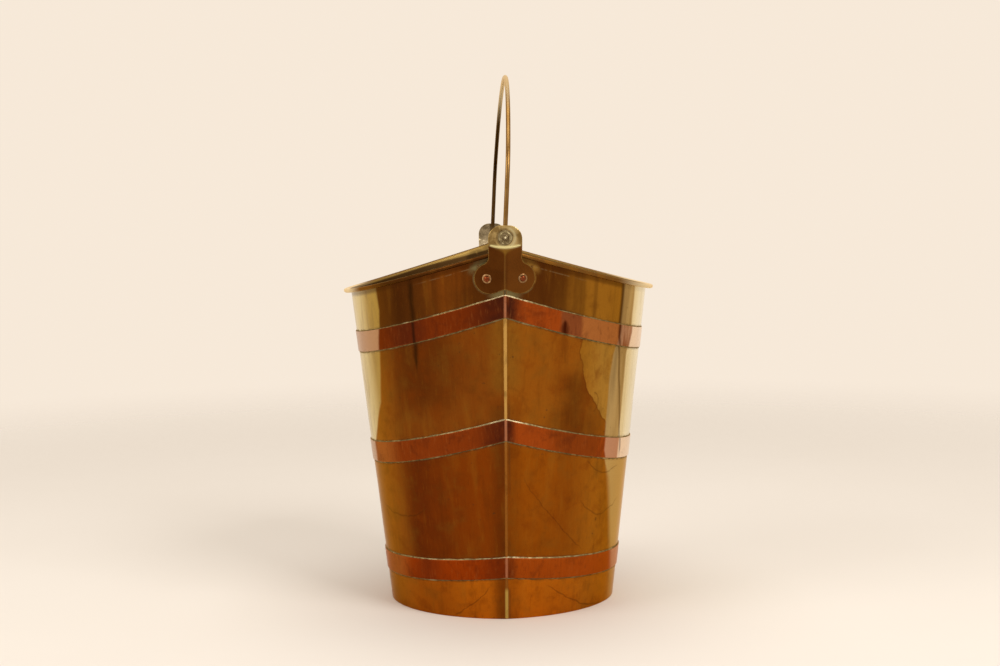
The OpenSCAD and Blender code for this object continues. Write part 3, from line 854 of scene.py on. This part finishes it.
def aged_copper():
    f = Finish("aged_copper")
    blotches = f.cloud(0.024, 4, 0.6, 0.5)
    brushing = f.cloud(0.0022, 4, 0.7, place=f.drawn(z=0.08))
    smears = f.cloud(0.007, 4, 0.65, place=f.drawn(z=0.6))
    streaks = f.cloud(0.012, place=f.drawn(z=0.12))
    on_top = f.height.between(0.225, 0.245)
    low = f.height.between(0.105, 0.095)
    colour = red_halves(f, f.across + (blotches - 0.5) * 0.22, smears, on_top, low)

    # Painted shade by the ridges, further out on the left, with soft stains and brush lines
    reach = f.right.ramp(0, 1, 0.036, 0.013) + on_top.ramp(0, 1, 0, 0.01)
    by_ridge = f.to_ridge.between(reach, 0.004) * (smears * 0.9 + 0.5)
    colour.paint(on_top.blend(copper_dark, copper_purple), by_ridge * low.ramp(0, 1, 0.95, 0.6))
    colour.paint(copper_dark, blotches.between(0.52, 0.74) * 0.45)
    colour.paint(copper_dark, smears.between(0.56, 0.74) * 0.3)
    colour.paint(copper_dark, brushing.between(0.52, 0.7) * 0.26)
    colour.paint(copper_pink, brushing.between(0.46, 0.3) * 0.2)
    drip = f.across.near(drip_across, 0.018) * f.along.between(0, -0.02) * on_top
    colour.paint(copper_drip, drip * 0.8)

    # The painted reflections on the sides, as on the walls, then worn edges, the bright mitre, and scratches
    left_strip, grey_strip, bright_strip, line = reflection_strips(f)
    strip_streaks = streaks * 0.4 + 0.78
    colour.paint(copper_left_bright, left_strip * strip_streaks)
    grey = streaks.between(0.35, 0.6).blend(copper_grey, copper_mauve)
    grey.paint(copper_low_grey, f.height.between(0.21, 0.19))
    colour.paint(grey, grey_strip)
    colour.paint(copper_right_bright, bright_strip * strip_streaks)
    colour.paint(copper_dark, line)
    worn = f.mark("edge").between(0.001, 0.0002) * smears.between(0.4, 0.6)
    colour.paint(copper_pink, worn * 0.35)
    colour.paint(copper_mitre, f.to_ridge.between(0.0019, 0.0004) * (smears * 0.7 + 0.35))
    scratches = f.hairlines(0.022, 0.008)
    colour.paint(copper_dark, scratches * 0.3)
    graze = (left_strip | bright_strip).blend(copper_graze, clean_graze)
    relief = smears * 0.6 - scratches * 0.5 + brushing * 0.25
    return f.done(colour, blotches * 0.16 + 0.16, relief, 0.00007, graze=graze)


def band_section():
    """A band cut through, as steps out and up: its rounded outer face, then its flat back."""
    half = band_w / 2
    low_edge = [(band_t - band_round * (1 - math.sin(a)), -half + band_round * (1 - math.cos(a)))
                for a in np.radians([0, 30, 60, 90])]
    face = [(band_t, mix(-half, half, share)) for share in (0.06, 0.2, 0.5, 0.8, 0.94)]
    outer = low_edge + face + [(out, -up) for out, up in low_edge[::-1]]
    return np.array(outer + [(0, up) for out, up in outer[::-1]])


band_copper = aged_copper()
section = band_section()
count = len(section)
band_faces = sheet_skin(wall_columns, count)
half_bands = [(f"{name}_{word}", level, side)
              for level, name in enumerate(("bottom_band", "middle_band", "top_band"))
              for word, side in (("left", -1), ("right", 1))]
for name, level, side in half_bands:
    sections = [wall_point(g, band_middles(g)[level] + section[:, 1], section[:, 0] + solder_gap, side)
                for g in turns]
    marks = {"across": np.repeat(side * np.cos(turns), count),
             "edge": np.tile(band_w / 2 - abs(section[:, 1]), wall_columns)}
    band = piece(f"{name}_strip", sections, band_faces, "bucket", band_copper, marks, 50)
    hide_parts(name)


# Solder lines: what ran out along both edges of each band, wiped, cleaned and waxed over
# for years, so that it is greenish yellow with black dirt in its pits.
solder_w = 0.0009
solder_rise = 0.0013
solder_out = np.array([-0.00005, 0.28 * solder_w, 0.72 * solder_w, 0.85 * solder_w, -0.00005])
solder_up = np.array([1.0, 0.62, 0.22, -0.15, -0.15])
solder_lumps = 60
wax_yellow = (0.27, 0.205, 0.09)
wax_brown = (0.12, 0.08, 0.03)
wax_dull = (0.11, 0.085, 0.038)
wax_pale = (0.4, 0.34, 0.19)
wax_cleaned = (0.44, 0.37, 0.22)


def waxed_solder():
    f = Finish("waxed_solder")
    lumps = f.cloud(0.004, 3, 0.6)
    spots = f.cloud(0.016)
    colour = lumps.between(0.3, 0.7).blend(wax_yellow, wax_brown)
    colour.paint(wax_dull, spots.between(0.46, 0.66) * 0.55)
    colour.paint(wax_pale, spots.between(0.42, 0.3) * 0.5)
    cleaned = f.to_ridge.between(0.034, 0.004) * (f.mark("upper") * 0.75 + 0.15)
    colour.paint(wax_cleaned, cleaned * lumps.between(0.75, 0.35))
    return f.done(colour, lumps * 0.2 + 0.42, lumps, 0.0002, graze=tarnish_graze)


def solder_strips(level, side):
    """Two small uneven fillets, in the corners between a half band's edges and the wall."""
    dice = np.random.default_rng(30 + 2 * level + side)
    points, faces, upper = [], [], []
    for way in (-1, 1):
        faces += skin(wall_columns, 5, len(points), capped=True)
        lumps = np.linspace(front_ridge, back_ridge, solder_lumps)
        run = np.interp(turns, lumps, dice.uniform(0.6, 1.25, solder_lumps))
        for g, size in zip(turns, run):
            up = way * (band_w / 2 + solder_up * solder_rise * size)
            points += wall_point(g, band_middles(g)[level] + up, solder_out, side).tolist()
            upper += [max(way, 0)] * 5
    return points, faces, upper


band_solder = waxed_solder()
for name, level, side in half_bands:
    points, faces, upper = solder_strips(level, side)
    piece(f"{name}_solder", points, faces, "bucket", band_solder, {"upper": upper}, 60)


# Ears: heart-shaped plates of 2 mm brass, creased over the ridge and set out over the lip
# to an upright tab. Each is bored for the bail. Their edges and the crease are rubbed.
# Light is painted on them: a highlight along the upper bend, a pale crescent of highlight
# and a ring of shadow round the washer, and reflection that makes the tab and right lobe lighter.
ear_t = 0.002
ear_gap = 0.00015
ear_standoff = 0.0006
ear_bevel = 0.0006
ear_grid = 0.0011
notch_drop = 0.039
notch_reach = 0.0062
lean_drop = 0.023
tab_bend_rise = 0.0017
tab_w = 0.0318
tab_rise = 0.022
tab_corner_r = 0.0125
hollow_r = 0.007
bend_smile = 0.0024
bend_blur = 0.1
crescent_r = 0.0092
halo_r = 0.0078
bail_r = 0.00225
pivot_gap = 0.00008
pivot_rise = 0.0107
pivot_z = end_h + pivot_rise
lean_z = end_h - lean_drop
tab_bend_z = end_h + tab_bend_rise
ridge_y = -wall_point(front_ridge, lean_z, ear_gap, 1)[1]
lip_y = -wall_point(front_ridge, end_h, lip_w, 1)[1]
roll_depth = 2 * (rim_wire_r + wire_gap) + 2 * sheet_t
lean_share = (end_h - roll_depth - lean_z) / (tab_bend_z - lean_z)
tab_y = ridge_y + (lip_y + ear_standoff - ridge_y) / lean_share
ear_brown = (0.098, 0.031, 0.0048)
ear_umber = (0.072, 0.021, 0.0034)
ear_right_lobe_reflection = (0.15, 0.052, 0.0085)
ear_edge = (0.34, 0.23, 0.062)
crease_gold = (0.3, 0.15, 0.034)
wedge_gold = (0.23, 0.118, 0.018)
bend_highlight = (0.9, 0.84, 0.43)
tab_tan = (0.45, 0.32, 0.13)
tab_dull = (0.23, 0.145, 0.048)
tab_pale = (0.6, 0.5, 0.27)
tab_right = (0.19, 0.112, 0.03)
crescent_highlight = (0.6, 0.54, 0.31)
washer_shadow_dark = (0.055, 0.03, 0.008)
back_silver = (0.43, 0.35, 0.22)
back_dull = (0.23, 0.18, 0.105)


def dark_ear_brass():
    f = Finish("dark_ear_brass")
    blotches = f.cloud(0.022, 3, 0.5)
    spots = f.cloud(0.0025, 3, 0.7)
    wiped = f.cloud(0.01, 3, 0.5, 0.6)
    tab = wiped.between(0.42, 0.62).blend(tab_tan, tab_dull)
    tab.paint(tab_pale, wiped.between(0.4, 0.32) * 0.7)
    tab.paint(verdigris, spots.between(0.56, 0.68) * 0.35)
    # A painted highlight: a pale crescent right of the washer
    tab.paint(crescent_highlight, f.mark("crescent") * 0.7)
    tab.paint(tab_right, f.sideways.between(0.0095, 0.014) * 0.8)
    # A painted shadow: a dark ring round the washer's left side
    tab.paint(washer_shadow_dark, f.mark("halo") * 0.75)
    colour = blotches.between(0.36, 0.66).blend(ear_brown, ear_umber)
    # Painted reflection: the right lobe lighter
    colour.paint(ear_right_lobe_reflection, f.sideways.between(0, 0.004) * 0.55)
    # Painted reflection: the upright tab lighter than the plate below it
    colour.paint(tab, f.mark("on_tab"))
    colour.paint(crease_gold, f.mark("crease") * 0.45)
    colour.paint(wedge_gold, f.mark("wedge") * 0.85)
    # A painted highlight along the upper bend
    colour.paint(bend_highlight, f.mark("bend") * 0.95)
    colour.paint(wiped.between(0.4, 0.62).blend(back_silver, back_dull), f.mark("behind"))
    worn = f.mark("edge").between(0.001, 0.0002) * spots.between(0.3, 0.55)
    colour.paint(ear_edge, worn * 0.55)
    colour.paint(dark_stain, f.cloud(0.0016, 2).between(0.64, 0.74) * 0.4)
    relief = spots * 0.4 + blotches * 0.4
    return f.done(colour, blotches * 0.16 + 0.17, relief, 0.00007, graze=tarnish_graze)


def arc(x, z, r, start, stop, steps):
    return [(x + r * math.cos(a), z + r * math.sin(a)) for a in np.linspace(start, stop, steps)]


def ear_outline():
    """Half of the ear's outline from the notch round a lobe and up the tab, as points."""
    fillet_x = tab_w / 2 + hollow_r
    fillet_z = -lobe_drop + math.sqrt((lobe_r + hollow_r) ** 2 - (fillet_x - lobe_x) ** 2)
    touch = math.atan2(fillet_z + lobe_drop, fillet_x - lobe_x)
    notch = -math.acos(-notch_reach / lobe_r)
    tab_flat = tab_rise - tab_corner_r
    lobe = arc(lobe_x, -lobe_drop, lobe_r, notch, touch, 40)
    fillet = arc(fillet_x, fillet_z, hollow_r, touch + math.pi, math.pi, 12)
    corner = arc(tab_w / 2 - tab_corner_r, tab_flat, tab_corner_r, 0, math.pi / 2, 20)
    straight = [(tab_w / 2, mix(fillet_z, tab_flat, s)) for s in (0.2, 0.4, 0.6, 0.8)]
    x, z = lobe[0]
    cusp = [(x * s, mix(-notch_drop, z, s ** 1.25)) for s in (0, 0.12, 0.25, 0.4, 0.55, 0.7, 0.85)]
    return cusp + lobe + fillet[1:] + straight + corner + [(0, tab_rise)]


def inset(outline, depth):
    """The outline moved inwards by a depth, point by point."""
    p = np.array(outline)
    ahead = np.roll(p, -1, 0) - p
    behind = p - np.roll(p, 1, 0)
    ahead = ahead / np.linalg.norm(ahead, axis=1)[:, None]
    behind = behind / np.linalg.norm(behind, axis=1)[:, None]
    way = ahead + behind
    way = way / np.linalg.norm(way, axis=1)[:, None]
    inward = np.stack([-way[:, 1], way[:, 0]], -1)
    spread = np.clip((inward * np.stack([-ahead[:, 1], ahead[:, 0]], -1)).sum(1), 0.5, 1)
    return p + inward * (depth / spread)[:, None]


def is_inside(outline, x, z):
    """Whether a flat point lies inside an outline."""
    ax, az = outline[:, 0], outline[:, 1]
    bx, bz = np.roll(ax, -1), np.roll(az, -1)
    crossing = (az > z) != (bz > z)
    rise = np.where(crossing, bz - az, 1)
    return bool(np.count_nonzero(crossing & (x < ax + (z - az) / rise * (bx - ax))) % 2)


def ear_place(x, z, out):
    """Where a point of the flat ear lies once bent, and how far up the leaning part it is."""
    height = end_h + z
    level = np.minimum(height, lean_z)
    share = level / end_h
    slope = mix(foot_point, neck_point, share) / half_width(share)
    crest = -wall_point(np.full_like(level, front_ridge), level, out, 1)[:, 1]
    soft = 0.0008 + 0.01 * eased(height, lean_z - 0.004, tab_bend_z)
    soft = np.where(out > ear_gap + ear_t / 2, soft, 0.0002)
    faces_y = crest - slope * (np.sqrt(x**2 + soft**2) - soft)
    upright_y = tab_y + out - ear_gap
    bend_z = tab_bend_z + bend_smile * (x / (tab_w / 2)) ** 2
    t = (height - lean_z) / (bend_z - lean_z)
    lower, upper = [bend_blur * np.log1p(np.exp(-abs(t - at) / bend_blur)) * 0.45 for at in (0, 1)]
    rounding = (lower * 0.6 - upper) * (upright_y - faces_y)
    y = mix(faces_y, upright_y, np.clip(t, 0, 1)) + rounding
    return np.stack([x, -y, height], -1), t


def ear_marks(x, z, depth, t):
    """What the finish needs to know at each point of the ear's front, and of its back."""
    half = abs(x) / (tab_w / 2)
    about = np.hypot(x, z - pivot_rise)
    crease = np.exp(-((x / 0.0006) ** 2)) * eased(t, 0.75, 0.45)
    wedge = 0.0005 + 0.0085 * eased(t, 0.62, 1.0) ** 2
    wedge = np.exp(-((x / wedge) ** 2)) * eased(t, 0.45, 0.75) * eased(t, 1.04, 0.96)
    # Where the painted highlight along the upper bend lies
    bend = np.exp(-(((t - 1.0) / (0.046 - 0.03 * half**2)) ** 2)) * eased(half, 1.02, 0.8)
    crescent = np.exp(-(((about - crescent_r) / 0.0012) ** 2)) * eased(x, 0.0015, 0.0055)
    halo = np.exp(-(((about - halo_r) / 0.0007) ** 2)) * eased(x, 0.0045, -0.001)
    both = {"edge": depth, "on_tab": eased(t, 0.93, 1.06), "crease": crease, "wedge": wedge}
    front = {"bend": bend, "crescent": crescent, "halo": halo}
    marks = {mark: np.concatenate([share, share]) for mark, share in both.items()}
    marks |= {mark: np.concatenate([share, 0 * share]) for mark, share in front.items()}
    return marks | {"behind": np.repeat([0.0, 1.0], len(x))}


def ear_mesh():
    """Points, faces and marks of one ear, with rounded edges and the bail's bore."""
    right = ear_outline()
    outline = right + [(-x, z) for x, z in right[-2:0:-1]]
    bore = arc(0, pivot_rise, bail_r + pivot_gap, 0, 2 * math.pi, 33)[:-1]
    levels = [0, 0.15 * ear_bevel, 0.45 * ear_bevel, ear_bevel]
    loops = [inset(outline, d) for d in levels]
    ring = len(outline)
    flat = [tuple(p) for loop in loops for p in loop] + bore
    depth = [d for d in levels for k in range(ring)] + [ear_bevel] * len(bore)
    border, inner = loops[0], loops[-1]
    for x in np.arange(-0.03, 0.0301, ear_grid):
        for z in np.arange(-0.044, 0.0221, ear_grid):
            gap = np.hypot(inner[:, 0] - x, inner[:, 1] - z).min()
            off_bore = math.hypot(x, z - pivot_rise) > bail_r + ear_grid * 0.6
            if gap > ear_grid * 0.5 and off_bore and is_inside(inner, x, z):
                flat.append((x, z))
                depth.append(min(ear_bevel + gap, 0.01))
    start = 4 * ring
    rims = [(k * ring, ring) for k in range(4)] + [(start, len(bore))]
    edges = [(first + i, first + (i + 1) % size) for first, size in rims for i in range(size)]
    net = delaunay_2d_cdt([Vector(p) for p in flat], edges, [], 0, 1e-9)
    if len(net[0]) != len(flat):
        raise SystemExit("the ear's net has gained or lost points")
    flat = np.array(flat)
    depth = np.array(depth)
    triangles = []
    for face in net[2]:
        x, z = flat[list(face)].mean(0)
        if is_inside(border, x, z) and math.hypot(x, z - pivot_rise) > bail_r:
            triangles.append(tuple(face))
    fall = ear_bevel - np.sqrt(np.clip(ear_bevel**2 - np.clip(ear_bevel - depth, 0, None) ** 2, 0, None))
    front, t = ear_place(*flat.T, ear_gap + ear_t - fall)
    back, _ = ear_place(*flat.T, np.full(len(flat), ear_gap))
    total = len(flat)
    faces = triangles + [tuple(i + total for i in face[::-1]) for face in triangles]
    for first, size in (rims[0], rims[-1]):
        for i in range(size):
            a, b = first + i, first + (i + 1) % size
            faces.append((a, b, b + total, a + total))
    return np.concatenate([front, back]), faces, ear_marks(*flat.T, depth, t)


ear_brass = dark_ear_brass()
ear_points, ear_faces, marks = ear_mesh()
for name, end in (("front_ear", 1), ("back_ear", -1)):
    turned_round = ear_points * [end, end, 1]
    ear = piece(f"{name}_plate", turned_round, ear_faces, "bucket", ear_brass, marks, 40)
    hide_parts(name)


# Rivets: copper, two through each ear and the wall, with a domed head in a flat rim
# outside and a low hammered tail inside.
rivet_r = 0.0025
rivet_head_r = 0.00465
rivet_head_h = 0.0023
rivet_tail_r = 0.004
rivet_tail_h = 0.0012
rivet_seat = 0.00014
rivet_x = 0.0163
rivet_z = end_h - lobe_drop
rivet_red = (0.3, 0.07, 0.02)
rivet_brown = (0.15, 0.034, 0.011)
rivet_right_shade = (0.13, 0.036, 0.013)
rim_worn_and_sheen = (0.42, 0.245, 0.11)
rim_dull = (0.23, 0.12, 0.048)
rim_right_shade = (0.17, 0.09, 0.034)


def hammered_copper():
    f = Finish("hammered_copper")
    centre = f.mark("centre")
    blotches = f.cloud(0.003)
    right = f.sideways.between(-0.001, 0.001)
    dome = blotches.between(0.35, 0.65).blend(rivet_red, rivet_brown)
    # Painted shade: the right rivet's dome and rim darker
    dome.paint(rivet_right_shade, right * 0.55)
    # The rims pale, partly wear and partly painted highlight
    rim = blotches.between(0.4, 0.6).blend(rim_worn_and_sheen, rim_dull)
    rim.paint(rim_right_shade, right * 0.45)
    colour = centre.between(0.56, 0.7).blend(dome, rim)
    colour.paint(dark_stain, centre.near(0.62, 0.07) * 0.8)
    return f.done(colour, blotches * 0.2 + 0.22, blotches, 0.0003)


def turned(profile, axis, centre, steps=40):
    """Points of a profile of (radius, height) turned about an axis at a centre."""
    turn = Vector(axis).normalized().to_track_quat("Z", "Y").to_matrix()
    angles = [2 * math.pi * i / steps for i in range(steps)]
    return [Vector(centre) + turn @ Vector((r * math.cos(a), r * math.sin(a), h))
            for r, h in profile for a in angles]


def rivet_profile():
    """Radius and height above the wall's outer face, from the tail to the head's crown."""
    tail_z = -(sheet_t + rivet_seat)
    head_z = ear_gap + ear_t + rivet_seat
    tail = [(rivet_tail_r * math.sin(a), tail_z - rivet_tail_h * math.cos(a))
            for a in np.linspace(0.05, math.pi / 2, 8)]
    shank = [(rivet_r, tail_z), (rivet_r, head_z)]
    rim = [(rivet_head_r * r, head_z + h)
           for r, h in ((1, 0), (1, 0.0003), (0.94, 0.0006), (0.72, 0.00075), (0.66, 0.00065))]
    crown = [(rivet_head_r * 0.62 * math.cos(a), head_z + 0.0007 + (rivet_head_h - 0.0007) * math.sin(a))
             for a in np.linspace(0.1, math.pi / 2 - 0.05, 9)]
    return tail + shank + rim + crown


rivet_g = -math.acos(rivet_x / half_width(rivet_z / end_h))
step = math.radians(1)
rivet_mid = wall_point(rivet_g, rivet_z, 0, 1)
forward = wall_point(rivet_g + step, rivet_z, 0, 1) - wall_point(rivet_g - step, rivet_z, 0, 1)
up = wall_point(rivet_g, rivet_z + 0.001, 0, 1) - wall_point(rivet_g, rivet_z - 0.001, 0, 1)
rivet_axis = np.cross(forward, up)
rivet_copper = hammered_copper()
profile = rivet_profile()
rivet_skin = skin(len(profile), 40, capped=True) + skin(len(profile), 40, len(profile) * 40, capped=True)
marks = {"centre": 2 * [r / rivet_head_r for r, h in profile for k in range(40)]}
for name, end in (("front_ear_rivets", 1), ("back_ear_rivets", -1)):
    points = []
    for side in (1, -1):
        flip = np.array([side * end, end, 1])
        points += turned(profile, rivet_axis * flip, rivet_mid * flip)
    pair = piece(f"{name}_pair", points, rivet_skin, "bucket", rivet_copper, marks, 50)
    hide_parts(name)


# Bail: one drawn brass rod, bent to an arch, its feet turned out through the ears and
# hammered over. It leans a little to the right at rest, and its back is painted darker as a dark reflection.
bail_h = 0.164
bail_leg_h = 0.054
haunch_r = 0.052
foot_bend_r = 0.0055
inner_play = 0.001
bail_lean = math.radians(3.1)
washer_t = 0.0014
washer_play = 0.0003
washer_gap = 0.00005
peen_r = 0.0038
peen_h = 0.0021
peen_sunk = 0.0001
rod_r = bail_r - 0.00006
rod_steps = 28
leg_y = tab_y - inner_play - foot_bend_r
washer_y = tab_y + ear_t + washer_play
peen_y = washer_y + washer_t + washer_gap
crown_drop = bail_h - bail_leg_h
crown_r = ((leg_y - haunch_r) ** 2 + crown_drop**2 - haunch_r**2) / (2 * (crown_drop - haunch_r))
crown_half = math.asin((leg_y - haunch_r) / (crown_r - haunch_r))
on_pivots = Matrix.Translation((0, 0, pivot_z)) @ Matrix.Rotation(bail_lean, 4, "Y")
rod_tan = (0.245, 0.138, 0.044)
rod_brown = (0.19, 0.098, 0.028)
rod_back_dark_reflection = (0.042, 0.019, 0.004)
rod_crown_highlight = (0.76, 0.66, 0.43)
rod_foot = (0.2, 0.14, 0.07)
peen_grey = (0.24, 0.185, 0.095)
peen_dull = (0.11, 0.08, 0.042)
peen_highlight = (0.86, 0.78, 0.52)


def handled_rod():
    f = Finish("handled_rod")
    ring = f.mark("ring")
    drawn = f.cloud(0.022, 3, 0.5)
    spots = f.cloud(0.0018, 3, 0.7)
    colour = drawn.between(0.35, 0.65).blend(rod_tan, rod_brown)
    # Painted dark reflection: the back of the bail darker
    colour.paint(rod_back_dark_reflection, f.along.between(-0.1, 0.14) * 0.9)
    colour.paint(dark_stain, spots.between(0.6, 0.7) * 0.4)
    # A painted highlight on the crown of the arch
    colour.paint(rod_crown_highlight, f.height.between(0.502, 0.546) * 0.92)
    colour.paint(rod_foot, f.height.between(pivot_z + 0.012, pivot_z) * 0.6)
    grey = spots.between(0.4, 0.6).blend(peen_grey, peen_dull)
    grey.paint(dark_stain, (ring.near(0.74, 0.1) | ring.near(0.4, 0.08)) * 0.8)
    # A painted highlight: a bright spot in the middle of each peened end
    grey.paint(peen_highlight, ring.between(0.3, 0.16))
    colour.paint(grey, f.mark("peen"))
    return f.done(colour, drawn * 0.12 + 0.26, drawn * 0.3 + spots * 0.3, 0.00004, graze=tarnish_graze)


def bail_path():
    """The rod's middle line as (y, z) above the pivots with its direction, end to end."""
    def bend(y, z, r, start, stop, steps, way=math.pi / 2):
        angles = np.linspace(start, stop, steps)
        return [(*point, a + way) for point, a in zip(arc(y, z, r, start, stop, steps), angles)]

    quarter = math.pi / 2
    stub_y = leg_y + foot_bend_r
    stub = [(mix(peen_y, stub_y, s), 0, math.pi) for s in (0, 0.3, 0.6, 0.9)]
    foot = bend(stub_y, foot_bend_r, foot_bend_r, 3 * quarter, 2 * quarter, 10, 3 * quarter)
    leg = [(leg_y, mix(foot_bend_r, bail_leg_h, s), quarter) for s in np.linspace(0.1, 0.95, 12)]
    haunch = bend(leg_y - haunch_r, bail_leg_h, haunch_r, 0, quarter - crown_half, 24)
    crown = bend(0, bail_h - crown_r, crown_r, quarter - crown_half, quarter, 40)
    half = stub + foot + leg + haunch + crown[1:]
    return half + [(-y, z, 2 * math.pi - a) for y, z, a in half[-2::-1]]


def swept_rod(path):
    """Points of the rod's round section, carried along its path."""
    points = []
    for y, z, a in path:
        for b in (2 * math.pi * i / rod_steps for i in range(rod_steps)):
            off = rod_r * math.sin(b)
            points.append((rod_r * math.cos(b), y - off * math.sin(a), z + off * math.cos(a)))
    return points


# A hammered-over end, as (radius, height): a low dome with two turned rings and a centre mark
peen_profile = [(peen_r * r, h) for r, h in (
    (0.5, 0), (0.97, 0), (1, 0.0003), (0.96, 0.0008), (0.8, 0.00135), (0.72, 0.00125), (0.66, 0.0016),
    (0.46, 0.0019), (0.38, 0.00175), (0.32, 0.00195), (0.2, peen_h), (0.06, peen_h * 0.98),
    (0.01, peen_h * 0.92))]
path = bail_path()
points = swept_rod(path)
faces = skin(len(path), rod_steps, capped=True)
peen_rings = [r / peen_r for r, h in peen_profile for k in range(40)]
marks = {"peen": [0] * len(points) + [1] * 2 * len(peen_rings), "ring": [1] * len(points) + 2 * peen_rings}
for end in (1, -1):
    faces += skin(len(peen_profile), 40, len(points), capped=True)
    points += turned(peen_profile, (0, end, 0), (0, end * (peen_y - peen_sunk), 0))
placed = [on_pivots @ Vector(p) for p in points]
rod = piece("bail_rod", placed, faces, "bail", handled_rod(), marks, 50)
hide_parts("bail")


# Washers: one turned brass washer under each peened end, tarnished grey, loose enough
# to turn with the bail.
washer_r = 0.00715
washer_bore_r = bail_r + washer_gap
washer_steps = 48
washer_pale = (0.47, 0.395, 0.215)
washer_dull = (0.17, 0.125, 0.06)


def grey_tarnish():
    f = Finish("grey_tarnish")
    ring = f.mark("ring")
    blotches = f.cloud(0.004, 4, 0.6)
    colour = blotches.between(0.36, 0.64).blend(washer_pale, washer_dull)
    colour.paint(dark_stain, (ring.near(0.98, 0.15) | ring.near(0.62, 0.07)) * 0.85)
    colour.paint(verdigris, f.cloud(0.0018).between(0.58, 0.68) * 0.4)
    return f.done(colour, blotches * 0.2 + 0.26, blotches, 0.0002)


def washer_profile():
    """Radius and height round a washer's section, from its bore's inner edge."""
    rim = [(washer_r - 0.0002, 0), (washer_r, 0.0002), (washer_r, washer_t - 0.0004),
           (washer_r - 0.0004, washer_t)]
    groove = [(washer_r * 0.8, washer_t), (washer_r * 0.76, washer_t - 0.0002), (washer_r * 0.72, washer_t)]
    bore = [(washer_bore_r + 0.0002, washer_t), (washer_bore_r, washer_t - 0.0002)]
    return [(washer_bore_r, 0)] + rim + groove + bore


washer_brass = grey_tarnish()
profile = washer_profile()
washer_skin = skin(len(profile), washer_steps, looped=True)
marks = {"ring": [r / washer_r for r, h in profile for k in range(washer_steps)]}
for name, end in (("front_bail_washer", -1), ("back_bail_washer", 1)):
    points = turned(profile, (0, end, 0), (0, end * washer_y, 0), washer_steps)
    placed = [on_pivots @ p for p in points]
    washer = piece(f"{name}_turned", placed, washer_skin, "bail", washer_brass, marks, 35)
    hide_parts(name)


# Studio: a round pale floor that thins out into pale light all round, soft lamps, and the
# camera where the photograph was taken from.
floor_r = 2.2
floor_full_r = 0.7
floor_sides = 96
floor_tone = (0.78, 0.722, 0.648)
floor_light = (0.8, 0.745, 0.675)


def pale_paper():
    f = Finish("pale_paper")
    grain = f.cloud(0.25)
    away = f.lay("VectorMath", {0: f.place}, out="Value", operation="LENGTH")
    f.feed(f.surface.inputs["Alpha"], away.between(floor_r * 0.96, floor_full_r))
    return f.done(grain.blend(floor_tone, floor_light), grain * 0.1 + 0.75, metal=0.0)


paper = bpy.data.meshes.new("studio_floor")
corners = [(x, y, 0) for x, y in arc(0, 0, floor_r, 0, 2 * math.pi, floor_sides + 1)[:-1]]
slices = [(0, 1 + k, 1 + (k + 1) % floor_sides) for k in range(floor_sides)]
paper.from_pydata([(0, 0, 0)] + corners, [], slices)
paper.materials.append(pale_paper())
studio_floor = shown("studio_floor", paper)


def soft_lamp(name, place, target, width, height, watts):
    lamp = bpy.data.lights.new(name, "AREA")
    lamp.shape = "RECTANGLE"
    lamp.size = width
    lamp.size_y = height
    lamp.energy = watts
    made = shown(name, lamp)
    made.location = place
    made.rotation_mode = "QUATERNION"
    made.rotation_quaternion = (Vector(target) - Vector(place)).to_track_quat("-Z", "Y")


soft_lamp("key_lamp", (1.5, -1.6, 2.0), (0, 0, 0.2), 1.2, 1.2, 38)
soft_lamp("fill_lamp", (-1.9, -0.9, 1.3), (0, 0, 0.25), 1.0, 1.4, 16)
soft_lamp("top_lamp", (0, 0.2, 2.4), (0, 0.1, 0), 1.8, 1.2, 20)

# Light from all round, seen at full strength by the camera and in what shines
world_light = 0.58
world_tone = (0.93, 0.815, 0.69)
world = bpy.data.worlds.new("studio_world")
world.use_nodes = True
nodes, links = world.node_tree.nodes, world.node_tree.links
rays = nodes.new("ShaderNodeLightPath")
seen = rays.outputs["Is Camera Ray"]
for ray in ("Is Glossy Ray", "Is Transmission Ray"):
    either = nodes.new("ShaderNodeMath")
    either.operation = "MAXIMUM"
    links.new(seen, either.inputs[0])
    links.new(rays.outputs[ray], either.inputs[1])
    seen = either.outputs[0]
strength = nodes.new("ShaderNodeMapRange")
strength.inputs["To Min"].default_value = world_light
strength.inputs["To Max"].default_value = 1
links.new(seen, strength.inputs["Value"])
nodes["Background"].inputs["Color"].default_value = (*world_tone, 1)
links.new(strength.outputs[0], nodes["Background"].inputs["Strength"])
bpy.context.scene.world = world
bpy.context.scene.view_settings.view_transform = "Standard"

focal_px = 1450
photo_w = 1000
camera_height = 0.4033
camera_dist = 1.5323
camera_side = 0.00085
camera_yaw = math.radians(2.16)
camera_dip = math.radians(4.636)
camera_roll = math.radians(0.746)
camera_x = camera_side * math.cos(camera_yaw) - camera_dist * math.sin(camera_yaw)
camera_y = -camera_side * math.sin(camera_yaw) - camera_dist * math.cos(camera_yaw)
lens = bpy.data.cameras.new("camera")
lens.sensor_width = 36
lens.lens = lens.sensor_width * focal_px / photo_w
lens.clip_start = 0.01
camera = shown("camera", lens)
turn = Matrix.Rotation(-camera_yaw, 4, "Z") @ Matrix.Rotation(math.pi / 2 - camera_dip, 4, "X")
place = Matrix.Translation((camera_x, camera_y, camera_height))
camera.matrix_world = place @ turn @ Matrix.Rotation(-camera_roll, 4, "Z")
bpy.context.scene.camera = camera
